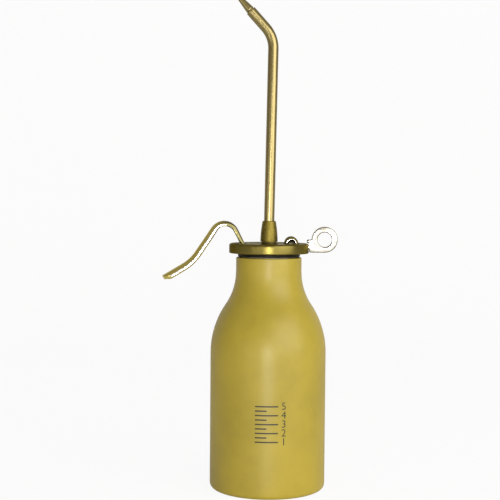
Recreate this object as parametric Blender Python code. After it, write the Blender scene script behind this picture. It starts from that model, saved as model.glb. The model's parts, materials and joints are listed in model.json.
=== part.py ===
"""Pump oiler: a plastic bottle, a screwed-in head with a thumb lever, and a long bent spout.

Metres, +Z up. The origin is the centre of the bottle's flat foot. The lever lies
towards -X, the hanging ring towards +X, and the spout bends towards -X.
"""

import math

import bmesh
import bpy
from mathutils import Matrix, Vector

# Clearance between pieces that touch or fit, and the overrun of every cutter
GAP = 0.0003
OVERRUN = 0.0020
WELD = 0.000001

# Roundness
WIDE_SIDES = 36
SIDES = 20
SMALL_SIDES = 12
SCREW_SIDES = 8
HEX_SIDES = 6
ARC_STEPS = 5
SMOOTH_ANGLE = math.radians(35)
HALF_TURN = math.pi
FULL_TURN = 2 * math.pi

# Bottle
BOTTLE_RADIUS = 0.0335
BOTTLE_WALL = 0.0016
FOOT_CORNER = 0.0030
SHOULDER_START = 0.0790
SHOULDER_RISE = 0.0470
SHOULDER_CONVEX_SHARE = 0.60
NECK_WALL = 0.0031
NECK_LENGTH = 0.0085
LIP_ROUND = 0.0006
MOUTH_SPACE = 0.0029

# Screw thread between neck and plug
THREAD_DEPTH = 0.0006
THREAD_PITCH = 0.0025
THREAD_TURNS = 2
THREAD_CLEARANCE = 0.0004
THREAD_FORM_SHARES = ((0.0, 0.0), (0.3, 1.0), (0.5, 1.0), (0.8, 0.0))
THREAD_TOP_DROP = 0.0008

# Cap: pressed cover crimped round the plug's flange
SEAL_SPACE = 0.0024
COVER_BAND = 0.0017
COVER_HEIGHT = 0.0057
COVER_SHEET = 0.0010
COVER_EDGE_ROUND = 0.0013
COVER_FOOT_ROUND = 0.0006
CRIMP_SHEET = 0.0008
CRIMP_WIDTH = 0.0031
SPIGOT_HOLE_RADIUS = 0.0044

# Threaded plug with its flange, cup and floor
FLANGE_THICKNESS = 0.0012
SEAT_STEP = 0.0008
CUP_SPACE = 0.0017
CUP_DEPTH = 0.0132
CUP_FLOOR = 0.0020
VENT_RADIUS = 0.0007
VENT_OUT = 0.0085

# Lever: rolled eye, flat arm inside the cap, pressed channel outside it
PIVOT_OUT = 0.0129
EYE_RADIUS = 0.0037
EYE_BORE = 0.0026
EYE_HALF_WIDTH = 0.0035
ARM_THICKNESS = 0.0012
ARM_HALF_WIDTH = 0.0076
ARM_WIDE_TO = 0.0070
ARM_TAPER = 0.0018
ARM_NARROW_AT = 0.0110
STEM_EYE_LENGTH = 0.0052
STEM_EYE_RADIUS = 0.0046
KNEE_OUT = 0.0129
KNEE_BEND = 0.0020
KNEE_HALF_WIDTH = 0.0030
LEVER_PEAK_OUT = 0.0249
LEVER_PEAK_RISE = 0.0220
LEVER_PEAK_BEND = 0.0089
LEVER_BREAK_OUT = 0.0434
LEVER_BREAK_DROP = 0.0058
LEVER_BREAK_BEND = 0.0250
LEVER_TIP_OUT = 0.0620
LEVER_TIP_DROP = 0.0184
LEVER_HALF_WIDTH = 0.0046
LEVER_SHEET = 0.0010
LEVER_DEPTH = 0.0043
LEVER_DEPTH_SHARES = ((0.0, 0.0), (0.353, 0.0), (0.375, 0.42), (0.49, 0.55),
                      (0.67, 0.93), (0.95, 1.0), (1.0, 0.5))
LEVER_FULL_WIDTH_OUT = 0.0270
LEVER_STEP = 0.0030
PIP_RADIUS = 0.0010
PIP_HEIGHT = 0.0009
LEVER_ANGLE = math.radians(6)

# Lever slot in the cover, and the pocket that clears the knee in the plug
LEVER_SLOT_FROM = 0.0130
LEVER_SLOT_TO = 0.0214
LEVER_SLOT_HALF_WIDTH = 0.0046
POCKET_TO = 0.0175
POCKET_HALF_WIDTH = 0.0040
POCKET_FLOOR = 0.0006
KNEE_POCKET_TO = 0.0143
KNEE_POCKET_DROP = 0.0012
KNEE_POCKET_HALF_WIDTH = 0.0035

# Pivot bracket, its tubular pin and its two screws
EAR_SHEET = 0.0012
EAR_RADIUS = 0.0040
EAR_BACK_OUT = 0.0057
FOOT_LENGTH = 0.0030
FOOT_WIDTH = 0.0046
FOOT_SHEET = 0.0008
PIVOT_SLOT_HALF_LENGTH = 0.0046
PIVOT_SLOT_HALF_WIDTH = 0.0068
PIN_BORE = 0.0015
PIN_FLARE = 0.0009
PIN_END = 0.0008
BRACKET_SCREW_RADIUS = 0.0007
BRACKET_SCREW_HEAD = 0.0014
BRACKET_SCREW_LENGTH = 0.0010

# Hanging ring
RING_STAND = 0.0014
RING_RISE = 0.0023
RING_RADIUS = 0.0075
RING_HOLE = 0.00425
RING_PLATE = 0.0016
RING_TAB_FROM = 0.0220
RING_SKIRT_DROP = 0.0049

# Spout hub, its washer, clip and packing
WASHER_THICKNESS = 0.0005
HUB_RADIUS = 0.0050
HUB_TOP_RADIUS = 0.0039
HUB_HEIGHT = 0.0119
HUB_CHAMFER = 0.0005
HUB_SOCKET_DEPTH = 0.0064
SPIGOT_BELOW_COVER = 0.0019
CLIP_THICKNESS = 0.0008
CLIP_RADIUS = 0.0065
CLIP_GROOVE_DEPTH = 0.0006
CLIP_OPENING = 0.0040
PACKING_HEIGHT = 0.0014
PACKING_WIDTH = 0.0010
PACKING_RISE = 0.0013

# Spout tube and nozzle
SPOUT_RADIUS = 0.0030
SPOUT_BORE = 0.0020
SPOUT_LEAN = math.radians(0.9)
SPOUT_BEND_HEIGHT = 0.1120
SPOUT_BEND_RADIUS = 0.0180
SPOUT_BEND_ANGLE = math.radians(42)
SPOUT_END_LENGTH = 0.0128
SPOUT_BEND_STEPS = 8
NOZZLE_LENGTH = 0.0095
NOZZLE_RADIUS = 0.00245
NOZZLE_TIP_RADIUS = 0.00145
NOZZLE_BORE = 0.0008
NOZZLE_SPIGOT = 0.0060

# Plunger and its collar
STEM_RADIUS = 0.0025
STEM_BORE = 0.0009
STEM_CHAMBER = 0.0016
STEM_CHAMBER_LENGTH = 0.0127
STEM_LENGTH = 0.0312
STEM_RISE = 0.0059
COLLAR_RADIUS = 0.0075
COLLAR_THICKNESS = 0.0015

# Return spring under the collar
RETURN_WIRE = 0.0010
RETURN_MEAN_RADIUS = 0.0050
RETURN_TURNS = 5
SPRING_POINTS_A_TURN = 9

# Barrel, gasket and screws
BARREL_BORE = 0.0075
BARREL_WALL = 0.0015
PUMP_SPACE = 0.0024
BARREL_FLANGE = 0.0017
BARREL_FLANGE_RIM = 0.0010
BARREL_FLOOR = 0.0015
GASKET_THICKNESS = 0.0008
BARREL_SCREW_RADIUS = 0.0011
BARREL_SCREW_HEAD = 0.0019
BARREL_SCREW_HEAD_HEIGHT = 0.0013
BARREL_SCREW_LENGTH = 0.0065
BARREL_SCREW_SPACE = 0.0002
BARREL_SCREWS = 4

# Piston, cup seal, nut, delivery ball and its spring
PISTON_THICKNESS = 0.0035
PISTON_BORE = 0.0006
PISTON_NOSE_LENGTH = 0.0025
PISTON_STUD_RADIUS = 0.0020
PISTON_STUD_LENGTH = 0.0048
CUP_SEAL_SHEET = 0.0011
CUP_SEAL_DEPTH = 0.0037
NUT_RADIUS = 0.0042
NUT_HEIGHT = 0.0022
DELIVERY_BALL_RADIUS = 0.0011
DELIVERY_WIRE = 0.00035
DELIVERY_MEAN_RADIUS = 0.00095
DELIVERY_TURNS = 5
DELIVERY_SPRING_LIFT = 0.0011

# Foot valve, ball, cage, suction tube and strainer
VALVE_RADIUS = 0.0046
VALVE_CHAMBER = 0.0030
VALVE_BORE = 0.0016
VALVE_TOP_RISE = 0.0008
VALVE_FLANGE_RADIUS = 0.0065
VALVE_FLANGE = 0.0015
VALVE_CHAMBER_DEPTH = 0.0083
VALVE_SEAT_LENGTH = 0.0023
VALVE_SOCKET_LENGTH = 0.0077
FOOT_BALL_RADIUS = 0.0022
CAGE_RECESS = 0.0004
CAGE_DEPTH = 0.0024
CAGE_THICKNESS = 0.0010
CAGE_HOLE_RADIUS = 0.0007
CAGE_HOLES = 4
SUCTION_RADIUS = 0.0030
SUCTION_BORE = 0.00205
SUCTION_FOOT = 0.0060
STRAINER_WALL = 0.0009
STRAINER_HEIGHT = 0.0090
STRAINER_FLOOR_RISE = 0.0012
STRAINER_SLOTS = 6
STRAINER_SLOT_WIDTH = 0.0014
STRAINER_SLOT_HEIGHT = 0.0022

# Places that follow from the sizes above
SHOULDER_END = SHOULDER_START + SHOULDER_RISE
LIP = SHOULDER_END + NECK_LENGTH
COVER_BOTTOM = LIP + SEAL_SPACE
COVER_TOP = COVER_BOTTOM + COVER_HEIGHT
COVER_UNDERSIDE = COVER_TOP - COVER_SHEET
FLANGE_BOTTOM = COVER_BOTTOM + CRIMP_SHEET + GAP
FLANGE_TOP = FLANGE_BOTTOM + FLANGE_THICKNESS
SEAT = FLANGE_BOTTOM - SEAT_STEP
CUP_FLOOR_TOP = FLANGE_TOP - CUP_DEPTH
CUP_FLOOR_BOTTOM = CUP_FLOOR_TOP - CUP_FLOOR
BARREL_SCREW_HOLE = BARREL_SCREW_RADIUS + GAP
BARREL_SCREW_OUT = BARREL_BORE + BARREL_WALL + BARREL_SCREW_SPACE + BARREL_SCREW_HOLE
BARREL_FLANGE_RADIUS = BARREL_SCREW_OUT + BARREL_SCREW_HOLE + BARREL_FLANGE_RIM
MOUTH_RADIUS = BARREL_FLANGE_RADIUS + MOUTH_SPACE
NECK_RADIUS = MOUTH_RADIUS + NECK_WALL
PLUG_RADIUS = MOUTH_RADIUS - THREAD_CLEARANCE
PLUG_BORE = BARREL_SCREW_OUT + BARREL_SCREW_HEAD + CUP_SPACE
COVER_RADIUS = LEVER_SLOT_TO + COVER_BAND
RING_OUT = COVER_RADIUS + GAP + RING_RADIUS + RING_STAND
PIVOT_HEIGHT = COVER_TOP
ARM_BOTTOM = PIVOT_HEIGHT - EYE_RADIUS
ARM_TOP = ARM_BOTTOM + ARM_THICKNESS
FOOT_BOTTOM = FLANGE_TOP + GAP
WASHER_BOTTOM = COVER_TOP + GAP
HUB_BOTTOM = WASHER_BOTTOM + WASHER_THICKNESS + GAP
HUB_TOP = HUB_BOTTOM + HUB_HEIGHT
SPOUT_FOOT = HUB_TOP - HUB_SOCKET_DEPTH + GAP
SPOUT_BEND_START = COVER_TOP + SPOUT_BEND_HEIGHT
STEM_TOP = COVER_TOP + STEM_RISE
STEM_BOTTOM = STEM_TOP - STEM_LENGTH
COLLAR_TOP = ARM_BOTTOM - PIP_HEIGHT - GAP
COLLAR_BOTTOM = COLLAR_TOP - COLLAR_THICKNESS
PISTON_TOP = STEM_BOTTOM - GAP
PISTON_BOTTOM = PISTON_TOP - PISTON_THICKNESS
NOSE_TOP = PISTON_TOP + PISTON_NOSE_LENGTH
GASKET_TOP = CUP_FLOOR_BOTTOM - GAP
BARREL_TOP = GASKET_TOP - GASKET_THICKNESS - GAP
VALVE_TOP = PISTON_BOTTOM - PISTON_STUD_LENGTH - PUMP_SPACE
BARREL_FLOOR_TOP = VALVE_TOP - VALVE_TOP_RISE
BARREL_BOTTOM = BARREL_FLOOR_TOP - BARREL_FLOOR
VALVE_SEAT = VALVE_TOP - VALVE_CHAMBER_DEPTH
SOCKET_TOP = VALVE_SEAT - VALVE_SEAT_LENGTH
VALVE_BOTTOM = SOCKET_TOP - VALVE_SOCKET_LENGTH


def clear_scene():
    """Remove whatever the file holds before the oiler is made."""
    for old in list(bpy.data.objects):
        bpy.data.objects.remove(old, do_unlink=True)


def material(name, colour, roughness, metallic=0.0):
    """A plain principled surface in one colour."""
    made = bpy.data.materials.get(name) or bpy.data.materials.new(name)
    made.use_nodes = True
    shader = made.node_tree.nodes["Principled BSDF"]
    shader.inputs["Base Color"].default_value = (*colour, 1.0)
    shader.inputs["Roughness"].default_value = roughness
    shader.inputs["Metallic"].default_value = metallic
    return made


def to_object(name, bm, surface, place=None):
    """Weld and orient a mesh, shade it smooth and put it in the scene."""
    bmesh.ops.remove_doubles(bm, verts=bm.verts, dist=WELD)
    bmesh.ops.recalc_face_normals(bm, faces=bm.faces)
    if place is not None:
        bm.transform(place)
    mesh = bpy.data.meshes.new(name)
    bm.to_mesh(mesh)
    bm.free()
    mesh.shade_smooth()
    mesh.set_sharp_from_angle(angle=SMOOTH_ANGLE)
    mesh.materials.append(surface)
    made = bpy.data.objects.new(name, mesh)
    bpy.context.scene.collection.objects.link(made)
    return made


def turned(name, outline, surface, sides=SIDES, place=None):
    """Turn an outline of (radius, height) points about Z; one that starts on the axis ends there."""
    bm = bmesh.new()
    points = [bm.verts.new((radius, 0, height)) for radius, height in outline]
    edges = [bm.edges.new(pair) for pair in zip(points, points[1:])]
    if outline[0][0] > 0:
        edges.append(bm.edges.new((points[-1], points[0])))
    bmesh.ops.spin(bm, geom=points + edges, axis=(0, 0, 1), cent=(0, 0, 0),
                   angle=FULL_TURN, steps=sides, use_merge=True)
    return to_object(name, bm, surface, place)


def extruded(name, outline, axis, low, high, surface):
    """Extrude a flat outline along X, Y or Z from low to high."""
    spread = {"X": lambda u, v: (low, u, v), "Y": lambda u, v: (u, low, v), "Z": lambda u, v: (u, v, low)}[axis]
    along = {"X": Vector((1, 0, 0)), "Y": Vector((0, 1, 0)), "Z": Vector((0, 0, 1))}[axis]
    bm = bmesh.new()
    face = bm.faces.new([bm.verts.new(spread(u, v)) for u, v in outline])
    grown = bmesh.ops.extrude_face_region(bm, geom=[face])["geom"]
    moved = [item for item in grown if isinstance(item, bmesh.types.BMVert)]
    bmesh.ops.translate(bm, verts=moved, vec=along * (high - low))
    return to_object(name, bm, surface)


def block(name, low, high, surface):
    """A plain box from its lowest to its highest corner."""
    outline = [(low[0], low[1]), (high[0], low[1]), (high[0], high[1]), (low[0], high[1])]
    return extruded(name, outline, "Z", low[2], high[2], surface)


def rod(name, radius, low, high, centre, surface, sides=SMALL_SIDES):
    """A plain upright rod round a centre, used as a cutter or a boss."""
    outline = [(0, low), (radius, low), (radius, high), (0, high)]
    return turned(name, outline, surface, sides, Matrix.Translation((centre[0], centre[1], 0)))


def cross_rod(name, radius, half_length, centre, surface, sides=SIDES):
    """A plain rod along Y through a centre of (x, z)."""
    outline = [(0, -half_length), (radius, -half_length), (radius, half_length), (0, half_length)]
    place = Matrix.Translation((centre[0], 0, centre[1])) @ Matrix.Rotation(HALF_TURN / 2, 4, "X")
    return turned(name, outline, surface, sides, place)


def combine(target, tool, operation):
    """Cut, join or intersect a piece with a tool that is left out of the model."""
    modifier = target.modifiers.new(tool.name, "BOOLEAN")
    modifier.operation = operation
    modifier.solver = "EXACT"
    modifier.object = tool
    tool.hide_render = True
    tool.display_type = "WIRE"


def cut(target, *tools):
    """Take each tool away from a piece."""
    for tool in tools:
        combine(target, tool, "DIFFERENCE")


def join(target, *tools):
    """Add each tool to a piece."""
    for tool in tools:
        combine(target, tool, "UNION")


def arc(centre, radius, start, end, steps=ARC_STEPS):
    """Points on an arc in the outline's own plane, both ends included."""
    turn = (end - start) / steps
    return [(centre[0] + radius * math.cos(start + turn * step), centre[1] + radius * math.sin(start + turn * step))
            for step in range(steps + 1)]


def shoulder_curve(low_radius, high_radius, steps=ARC_STEPS):
    """Two tangent arcs that lead from the bottle's wall in to its neck."""
    inset = low_radius - high_radius
    tilt = 2 * math.atan2(inset, SHOULDER_RISE)
    total = SHOULDER_RISE / math.sin(tilt)
    convex = total * SHOULDER_CONVEX_SHARE
    hollow = total - convex
    lower = arc((low_radius - convex, SHOULDER_START), convex, 0, tilt, steps)
    upper = arc((high_radius + hollow, SHOULDER_END), hollow, HALF_TURN + tilt, HALF_TURN, steps)
    return lower + upper[1:]


def thread_rings(root, crest, top):
    """The thread's form from its top downwards, as (radius, height) points."""
    points = []
    for ring in range(THREAD_TURNS):
        for drop_share, crest_share in THREAD_FORM_SHARES:
            height = top - (ring + drop_share) * THREAD_PITCH
            points.append((root + (crest - root) * crest_share, height))
    return points


def on_ring(count, radius, first=0.0):
    """Evenly spaced (x, y) places round the axis."""
    return [(radius * math.cos(first + FULL_TURN * index / count),
             radius * math.sin(first + FULL_TURN * index / count)) for index in range(count)]


def carried(name, place, pieces):
    """Hang pieces on an empty that stands on their joint's axis."""
    empty = bpy.data.objects.new(name, None)
    empty.location = place
    bpy.context.scene.collection.objects.link(empty)
    for piece in pieces:
        piece.parent = empty
        piece.matrix_parent_inverse = Matrix.Translation(place).inverted()
    return empty


def make_bottle(plastic):
    """The blown bottle: flat foot, straight wall, curved shoulder and threaded neck."""
    corner = arc((BOTTLE_RADIUS - FOOT_CORNER, FOOT_CORNER), FOOT_CORNER, -HALF_TURN / 2, 0)
    shoulder = shoulder_curve(BOTTLE_RADIUS, NECK_RADIUS)
    lip = [(NECK_RADIUS, LIP - LIP_ROUND), (NECK_RADIUS - LIP_ROUND, LIP), (MOUTH_RADIUS + LIP_ROUND, LIP),
           (MOUTH_RADIUS, LIP - LIP_ROUND)]
    threads = thread_rings(MOUTH_RADIUS + THREAD_DEPTH, MOUTH_RADIUS, LIP - THREAD_TOP_DROP - LIP_ROUND)
    inner_radius = BOTTLE_RADIUS - BOTTLE_WALL
    inner_shoulder = shoulder_curve(inner_radius, NECK_RADIUS - BOTTLE_WALL)
    inner_round = FOOT_CORNER - BOTTLE_WALL
    inner_corner = arc((BOTTLE_RADIUS - FOOT_CORNER, FOOT_CORNER), inner_round, 0, -HALF_TURN / 2)
    outline = [(0, 0)] + corner + shoulder + lip + threads + inner_shoulder[::-1] + inner_corner
    outline.append((0, BOTTLE_WALL))
    return turned("bottle", outline, plastic, WIDE_SIDES)


def make_seal_ring(rubber):
    """The black ring between the bottle's lip and the cap."""
    radius = (SEAT - LIP) / 2 - GAP
    centre = (MOUTH_RADIUS + radius, (SEAT + LIP) / 2)
    return turned("seal_ring", arc(centre, radius, 0, FULL_TURN, SMALL_SIDES // 2)[:-1], rubber, WIDE_SIDES)


def make_cap_cover(steel):
    """The pressed cover with its rolled edge, crimp, stem hole, slots and rim slot."""
    crimp_inner = COVER_RADIUS - CRIMP_WIDTH
    inner = COVER_RADIUS - COVER_SHEET
    top_round = arc((COVER_RADIUS - COVER_EDGE_ROUND, COVER_TOP - COVER_EDGE_ROUND), COVER_EDGE_ROUND, HALF_TURN / 2, 0)
    foot_round = arc((COVER_RADIUS - COVER_FOOT_ROUND, COVER_BOTTOM + COVER_FOOT_ROUND), COVER_FOOT_ROUND,
                     0, -HALF_TURN / 2)
    outline = [(SPIGOT_HOLE_RADIUS, COVER_TOP)] + top_round + foot_round
    outline += [(crimp_inner, COVER_BOTTOM), (crimp_inner, COVER_BOTTOM + CRIMP_SHEET),
                (inner, COVER_BOTTOM + CRIMP_SHEET), (inner, COVER_UNDERSIDE), (SPIGOT_HOLE_RADIUS, COVER_UNDERSIDE)]
    cover = turned("cap_cover", outline, steel, WIDE_SIDES)
    low = COVER_UNDERSIDE - OVERRUN
    high = COVER_TOP + OVERRUN
    lever_slot = block("lever_slot", (-LEVER_SLOT_TO, -LEVER_SLOT_HALF_WIDTH, low),
                       (-LEVER_SLOT_FROM, LEVER_SLOT_HALF_WIDTH, high), steel)
    pivot_slot = block("pivot_slot", (PIVOT_OUT - PIVOT_SLOT_HALF_LENGTH, -PIVOT_SLOT_HALF_WIDTH, low),
                       (PIVOT_OUT + PIVOT_SLOT_HALF_LENGTH, PIVOT_SLOT_HALF_WIDTH, high), steel)
    half_plate = RING_PLATE / 2 + GAP
    rim_slot = block("rim_slot", (inner - COVER_SHEET, -half_plate, FLANGE_TOP),
                     (COVER_RADIUS + OVERRUN, half_plate, COVER_UNDERSIDE), steel)
    cut(cover, lever_slot, pivot_slot, rim_slot)
    return cover


def make_cap_base(plastic):
    """The moulded plug: flange, seal seat, thread, cup, floor, lever pocket and screw holes."""
    flange_radius = COVER_RADIUS - COVER_SHEET - GAP
    seat_radius = COVER_RADIUS - CRIMP_WIDTH - GAP
    root = PLUG_RADIUS - THREAD_DEPTH
    threads = thread_rings(root, PLUG_RADIUS, LIP - THREAD_TOP_DROP - LIP_ROUND)
    outline = [(PLUG_BORE, FLANGE_TOP), (flange_radius, FLANGE_TOP), (flange_radius, FLANGE_BOTTOM),
               (seat_radius, FLANGE_BOTTOM), (seat_radius, SEAT), (PLUG_RADIUS, SEAT), (PLUG_RADIUS, LIP)]
    outline += threads
    stem_hole = STEM_RADIUS + GAP
    outline += [(root, CUP_FLOOR_BOTTOM), (stem_hole, CUP_FLOOR_BOTTOM), (stem_hole, CUP_FLOOR_TOP),
                (PLUG_BORE, CUP_FLOOR_TOP)]
    base = turned("cap_base", outline, plastic, WIDE_SIDES)
    high = FLANGE_TOP + OVERRUN
    knee_low = SEAT - KNEE_POCKET_DROP
    inside = PLUG_BORE - OVERRUN
    eye_half = EYE_HALF_WIDTH + 2 * GAP
    cut(base,
        block("lever_pocket", (-POCKET_TO, -POCKET_HALF_WIDTH, SEAT + POCKET_FLOOR),
              (-inside, POCKET_HALF_WIDTH, high), plastic),
        block("knee_pocket", (-KNEE_POCKET_TO, -KNEE_POCKET_HALF_WIDTH, knee_low),
              (-inside, KNEE_POCKET_HALF_WIDTH, high), plastic),
        block("eye_pocket", (inside, -eye_half, ARM_BOTTOM - 2 * GAP), (PIVOT_OUT + EYE_RADIUS, eye_half, high),
              plastic),
        rod("vent", VENT_RADIUS, CUP_FLOOR_BOTTOM - OVERRUN, CUP_FLOOR_TOP + OVERRUN, (VENT_OUT, 0), plastic,
            SCREW_SIDES))
    for index, (x, y) in enumerate(barrel_screw_places()):
        cut(base, rod(f"floor_hole_{index}", BARREL_SCREW_HOLE, CUP_FLOOR_BOTTOM - OVERRUN,
                      CUP_FLOOR_TOP + OVERRUN, (x, y), plastic, SCREW_SIDES))
    for index, (x, y) in enumerate(bracket_screw_places()):
        cut(base, rod(f"foot_hole_{index}", BRACKET_SCREW_RADIUS + GAP,
                      FOOT_BOTTOM - BRACKET_SCREW_LENGTH - GAP, high, (x, y), plastic, SCREW_SIDES))
    return base


def ear_inner():
    """How far from the middle plane the inner face of an ear stands."""
    return EYE_HALF_WIDTH + GAP


def bracket_screw_places():
    """Where the two screws of the pivot bracket go through its feet."""
    x = PIVOT_OUT + EAR_BACK_OUT - FOOT_LENGTH / 2
    y = ear_inner() + EAR_SHEET + FOOT_WIDTH / 2
    return [(x, y), (x, -y)]


def make_pivot_bracket(steel):
    """Two rounded ears joined by a back web, with a screwed foot on each side."""
    inner = ear_inner()
    outer = inner + EAR_SHEET
    back = PIVOT_OUT + EAR_BACK_OUT
    web_front = back - EAR_SHEET
    web_top = COVER_UNDERSIDE - GAP
    curve = arc((PIVOT_OUT, PIVOT_HEIGHT), EAR_RADIUS, 0, HALF_TURN)
    outline = [(PIVOT_OUT - EAR_RADIUS, FOOT_BOTTOM), (back, FOOT_BOTTOM), (back, web_top),
               (PIVOT_OUT + EAR_RADIUS, web_top)] + curve
    wide = outer + FOOT_WIDTH
    bracket = extruded("pivot_bracket", outline, "Y", -wide, wide, steel)
    low = FOOT_BOTTOM - OVERRUN
    high = PIVOT_HEIGHT + EAR_RADIUS + OVERRUN
    front = PIVOT_OUT - EAR_RADIUS - OVERRUN
    cut(bracket, block("ear_space", (front, -inner, low), (web_front, inner, high), steel))
    foot_top = FOOT_BOTTOM + FOOT_SHEET
    beside = [(front, low), (back - FOOT_LENGTH, low), (back - FOOT_LENGTH, foot_top), (back + OVERRUN, foot_top),
              (back + OVERRUN, high), (front, high)]
    cut(bracket, extruded("beside_left", beside, "Y", outer, wide + OVERRUN, steel),
        extruded("beside_right", beside, "Y", -wide - OVERRUN, -outer, steel))
    cut(bracket, cross_rod("ear_bore", EYE_BORE, outer + OVERRUN, (PIVOT_OUT, PIVOT_HEIGHT), steel))
    for index, (x, y) in enumerate(bracket_screw_places()):
        cut(bracket, rod(f"foot_bore_{index}", BRACKET_SCREW_RADIUS + GAP, low,
                         foot_top + OVERRUN / 2, (x, y), steel, SCREW_SIDES))
    return bracket


def make_bracket_screws(steel):
    """Two short pan-head screws that hold the bracket's feet on the flange."""
    foot_top = FOOT_BOTTOM + FOOT_SHEET
    head_bottom = foot_top + GAP
    head_top = COVER_UNDERSIDE - GAP
    low = FOOT_BOTTOM - BRACKET_SCREW_LENGTH
    outline = [(0, low), (BRACKET_SCREW_RADIUS, low), (BRACKET_SCREW_RADIUS, head_bottom),
               (BRACKET_SCREW_HEAD, head_bottom), (BRACKET_SCREW_HEAD, head_top), (0, head_top)]
    return [turned(f"bracket_screw_{index}", outline, steel, SCREW_SIDES, Matrix.Translation((x, y, 0)))
            for index, (x, y) in enumerate(bracket_screw_places(), 1)]


def make_pivot_pin(steel):
    """The tubular pin through the ears and the lever's eye, flared at both ends."""
    radius = EYE_BORE - GAP
    flare = radius + PIN_FLARE
    near = ear_inner() + EAR_SHEET + GAP
    end = near + PIN_END
    half = [(radius, near), (flare, near), (flare, end - PIN_END / 2), (radius, end), (PIN_BORE, end)]
    mirrored = [(r, -h) for r, h in half[::-1]]
    place = Matrix.Translation((PIVOT_OUT, 0, PIVOT_HEIGHT)) @ Matrix.Rotation(HALF_TURN / 2, 4, "X")
    return turned("pivot_pin", half + mirrored, steel, SMALL_SIDES, place)


def make_hang_ring(steel):
    """The flat ring plate that stands out of the rim, with its tongue inside the cap."""
    centre = (RING_OUT, PIVOT_HEIGHT + RING_RISE)
    inside = PIVOT_OUT + EAR_BACK_OUT + GAP
    outside = COVER_RADIUS + GAP
    tongue_low = FLANGE_TOP + GAP
    tongue_high = COVER_UNDERSIDE - GAP
    skirt = COVER_TOP - RING_SKIRT_DROP
    tab_low = COVER_TOP + GAP
    sweep = arc(centre, RING_RADIUS, -HALF_TURN / 2, HALF_TURN, SIDES)
    outline = [(inside, tongue_low), (outside, tongue_low), (outside, skirt)] + sweep
    outline += [(RING_TAB_FROM, centre[1]), (RING_TAB_FROM, tab_low), (outside, tab_low),
                (outside, tongue_high), (inside, tongue_high)]
    half = RING_PLATE / 2
    ring = extruded("hang_ring", outline, "Y", -half, half, steel)
    cut(ring, cross_rod("ring_hole", RING_HOLE, half + OVERRUN, centre, steel))
    return ring


def make_hub(brass):
    """The conical hub that the spout stands in, with its spigot through the cover."""
    bore = STEM_RADIUS + GAP
    socket = SPOUT_RADIUS + GAP
    spigot = SPIGOT_HOLE_RADIUS - GAP
    groove = spigot - CLIP_GROOVE_DEPTH
    groove_top = COVER_UNDERSIDE
    groove_bottom = groove_top - CLIP_THICKNESS - 2 * GAP
    spigot_bottom = COVER_UNDERSIDE - SPIGOT_BELOW_COVER
    packing_low = HUB_BOTTOM + PACKING_RISE
    packing_high = packing_low + PACKING_HEIGHT + 2 * GAP
    packing_radius = bore + PACKING_WIDTH + GAP
    outline = [(bore, spigot_bottom), (spigot, spigot_bottom), (spigot, groove_bottom), (groove, groove_bottom),
               (groove, groove_top), (spigot, groove_top), (spigot, HUB_BOTTOM), (HUB_RADIUS, HUB_BOTTOM),
               (HUB_TOP_RADIUS, HUB_TOP - HUB_CHAMFER), (HUB_TOP_RADIUS - HUB_CHAMFER, HUB_TOP),
               (socket, HUB_TOP), (socket, HUB_TOP - HUB_SOCKET_DEPTH), (bore, HUB_TOP - HUB_SOCKET_DEPTH),
               (bore, packing_high), (packing_radius, packing_high), (packing_radius, packing_low),
               (bore, packing_low)]
    return turned("spout_hub", outline, brass)


def make_hub_washer(fibre):
    """The thin washer between cover and hub."""
    top = WASHER_BOTTOM + WASHER_THICKNESS
    inner = SPIGOT_HOLE_RADIUS
    outer = HUB_RADIUS - GAP
    return turned("hub_washer", [(inner, WASHER_BOTTOM), (outer, WASHER_BOTTOM), (outer, top), (inner, top)], fibre)


def make_hub_clip(steel):
    """The open clip in the spigot's groove under the cover."""
    top = COVER_UNDERSIDE - GAP
    low = top - CLIP_THICKNESS
    inner = SPIGOT_HOLE_RADIUS - CLIP_GROOVE_DEPTH
    clip = turned("hub_clip", [(inner, low), (CLIP_RADIUS, low), (CLIP_RADIUS, top), (inner, top)], steel)
    cut(clip, block("clip_gap", (0, -CLIP_OPENING / 2, low - OVERRUN),
                    (CLIP_RADIUS + OVERRUN, CLIP_OPENING / 2, top + OVERRUN), steel))
    return clip


def make_stem_packing(rubber):
    """The sealing ring round the plunger inside the hub."""
    low = HUB_BOTTOM + PACKING_RISE + GAP
    inner = STEM_RADIUS + GAP
    outer = inner + PACKING_WIDTH
    top = low + PACKING_HEIGHT
    return turned("stem_packing", [(inner, low), (outer, low), (outer, top), (inner, top)], rubber)


def spout_path():
    """The spout's centre line as (x, z) points, with the direction at each; it leans a little above the hub."""
    path = [((0, SPOUT_FOOT), 0), ((0, HUB_TOP), -SPOUT_LEAN / 2)]
    lean = (SPOUT_BEND_START - HUB_TOP) * math.tan(SPOUT_LEAN)
    centre = (lean - SPOUT_BEND_RADIUS * math.cos(SPOUT_LEAN),
              SPOUT_BEND_START + SPOUT_BEND_RADIUS * math.sin(SPOUT_LEAN))
    for step in range(SPOUT_BEND_STEPS + 1):
        turn = (SPOUT_BEND_ANGLE + SPOUT_LEAN) * step / SPOUT_BEND_STEPS - SPOUT_LEAN
        x = centre[0] + SPOUT_BEND_RADIUS * math.cos(turn)
        z = centre[1] + SPOUT_BEND_RADIUS * math.sin(turn)
        path.append(((x, z), turn))
    (x, z), turn = path[-1]
    path.append(((x - SPOUT_END_LENGTH * math.sin(turn), z + SPOUT_END_LENGTH * math.cos(turn)), turn))
    return path


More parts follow.
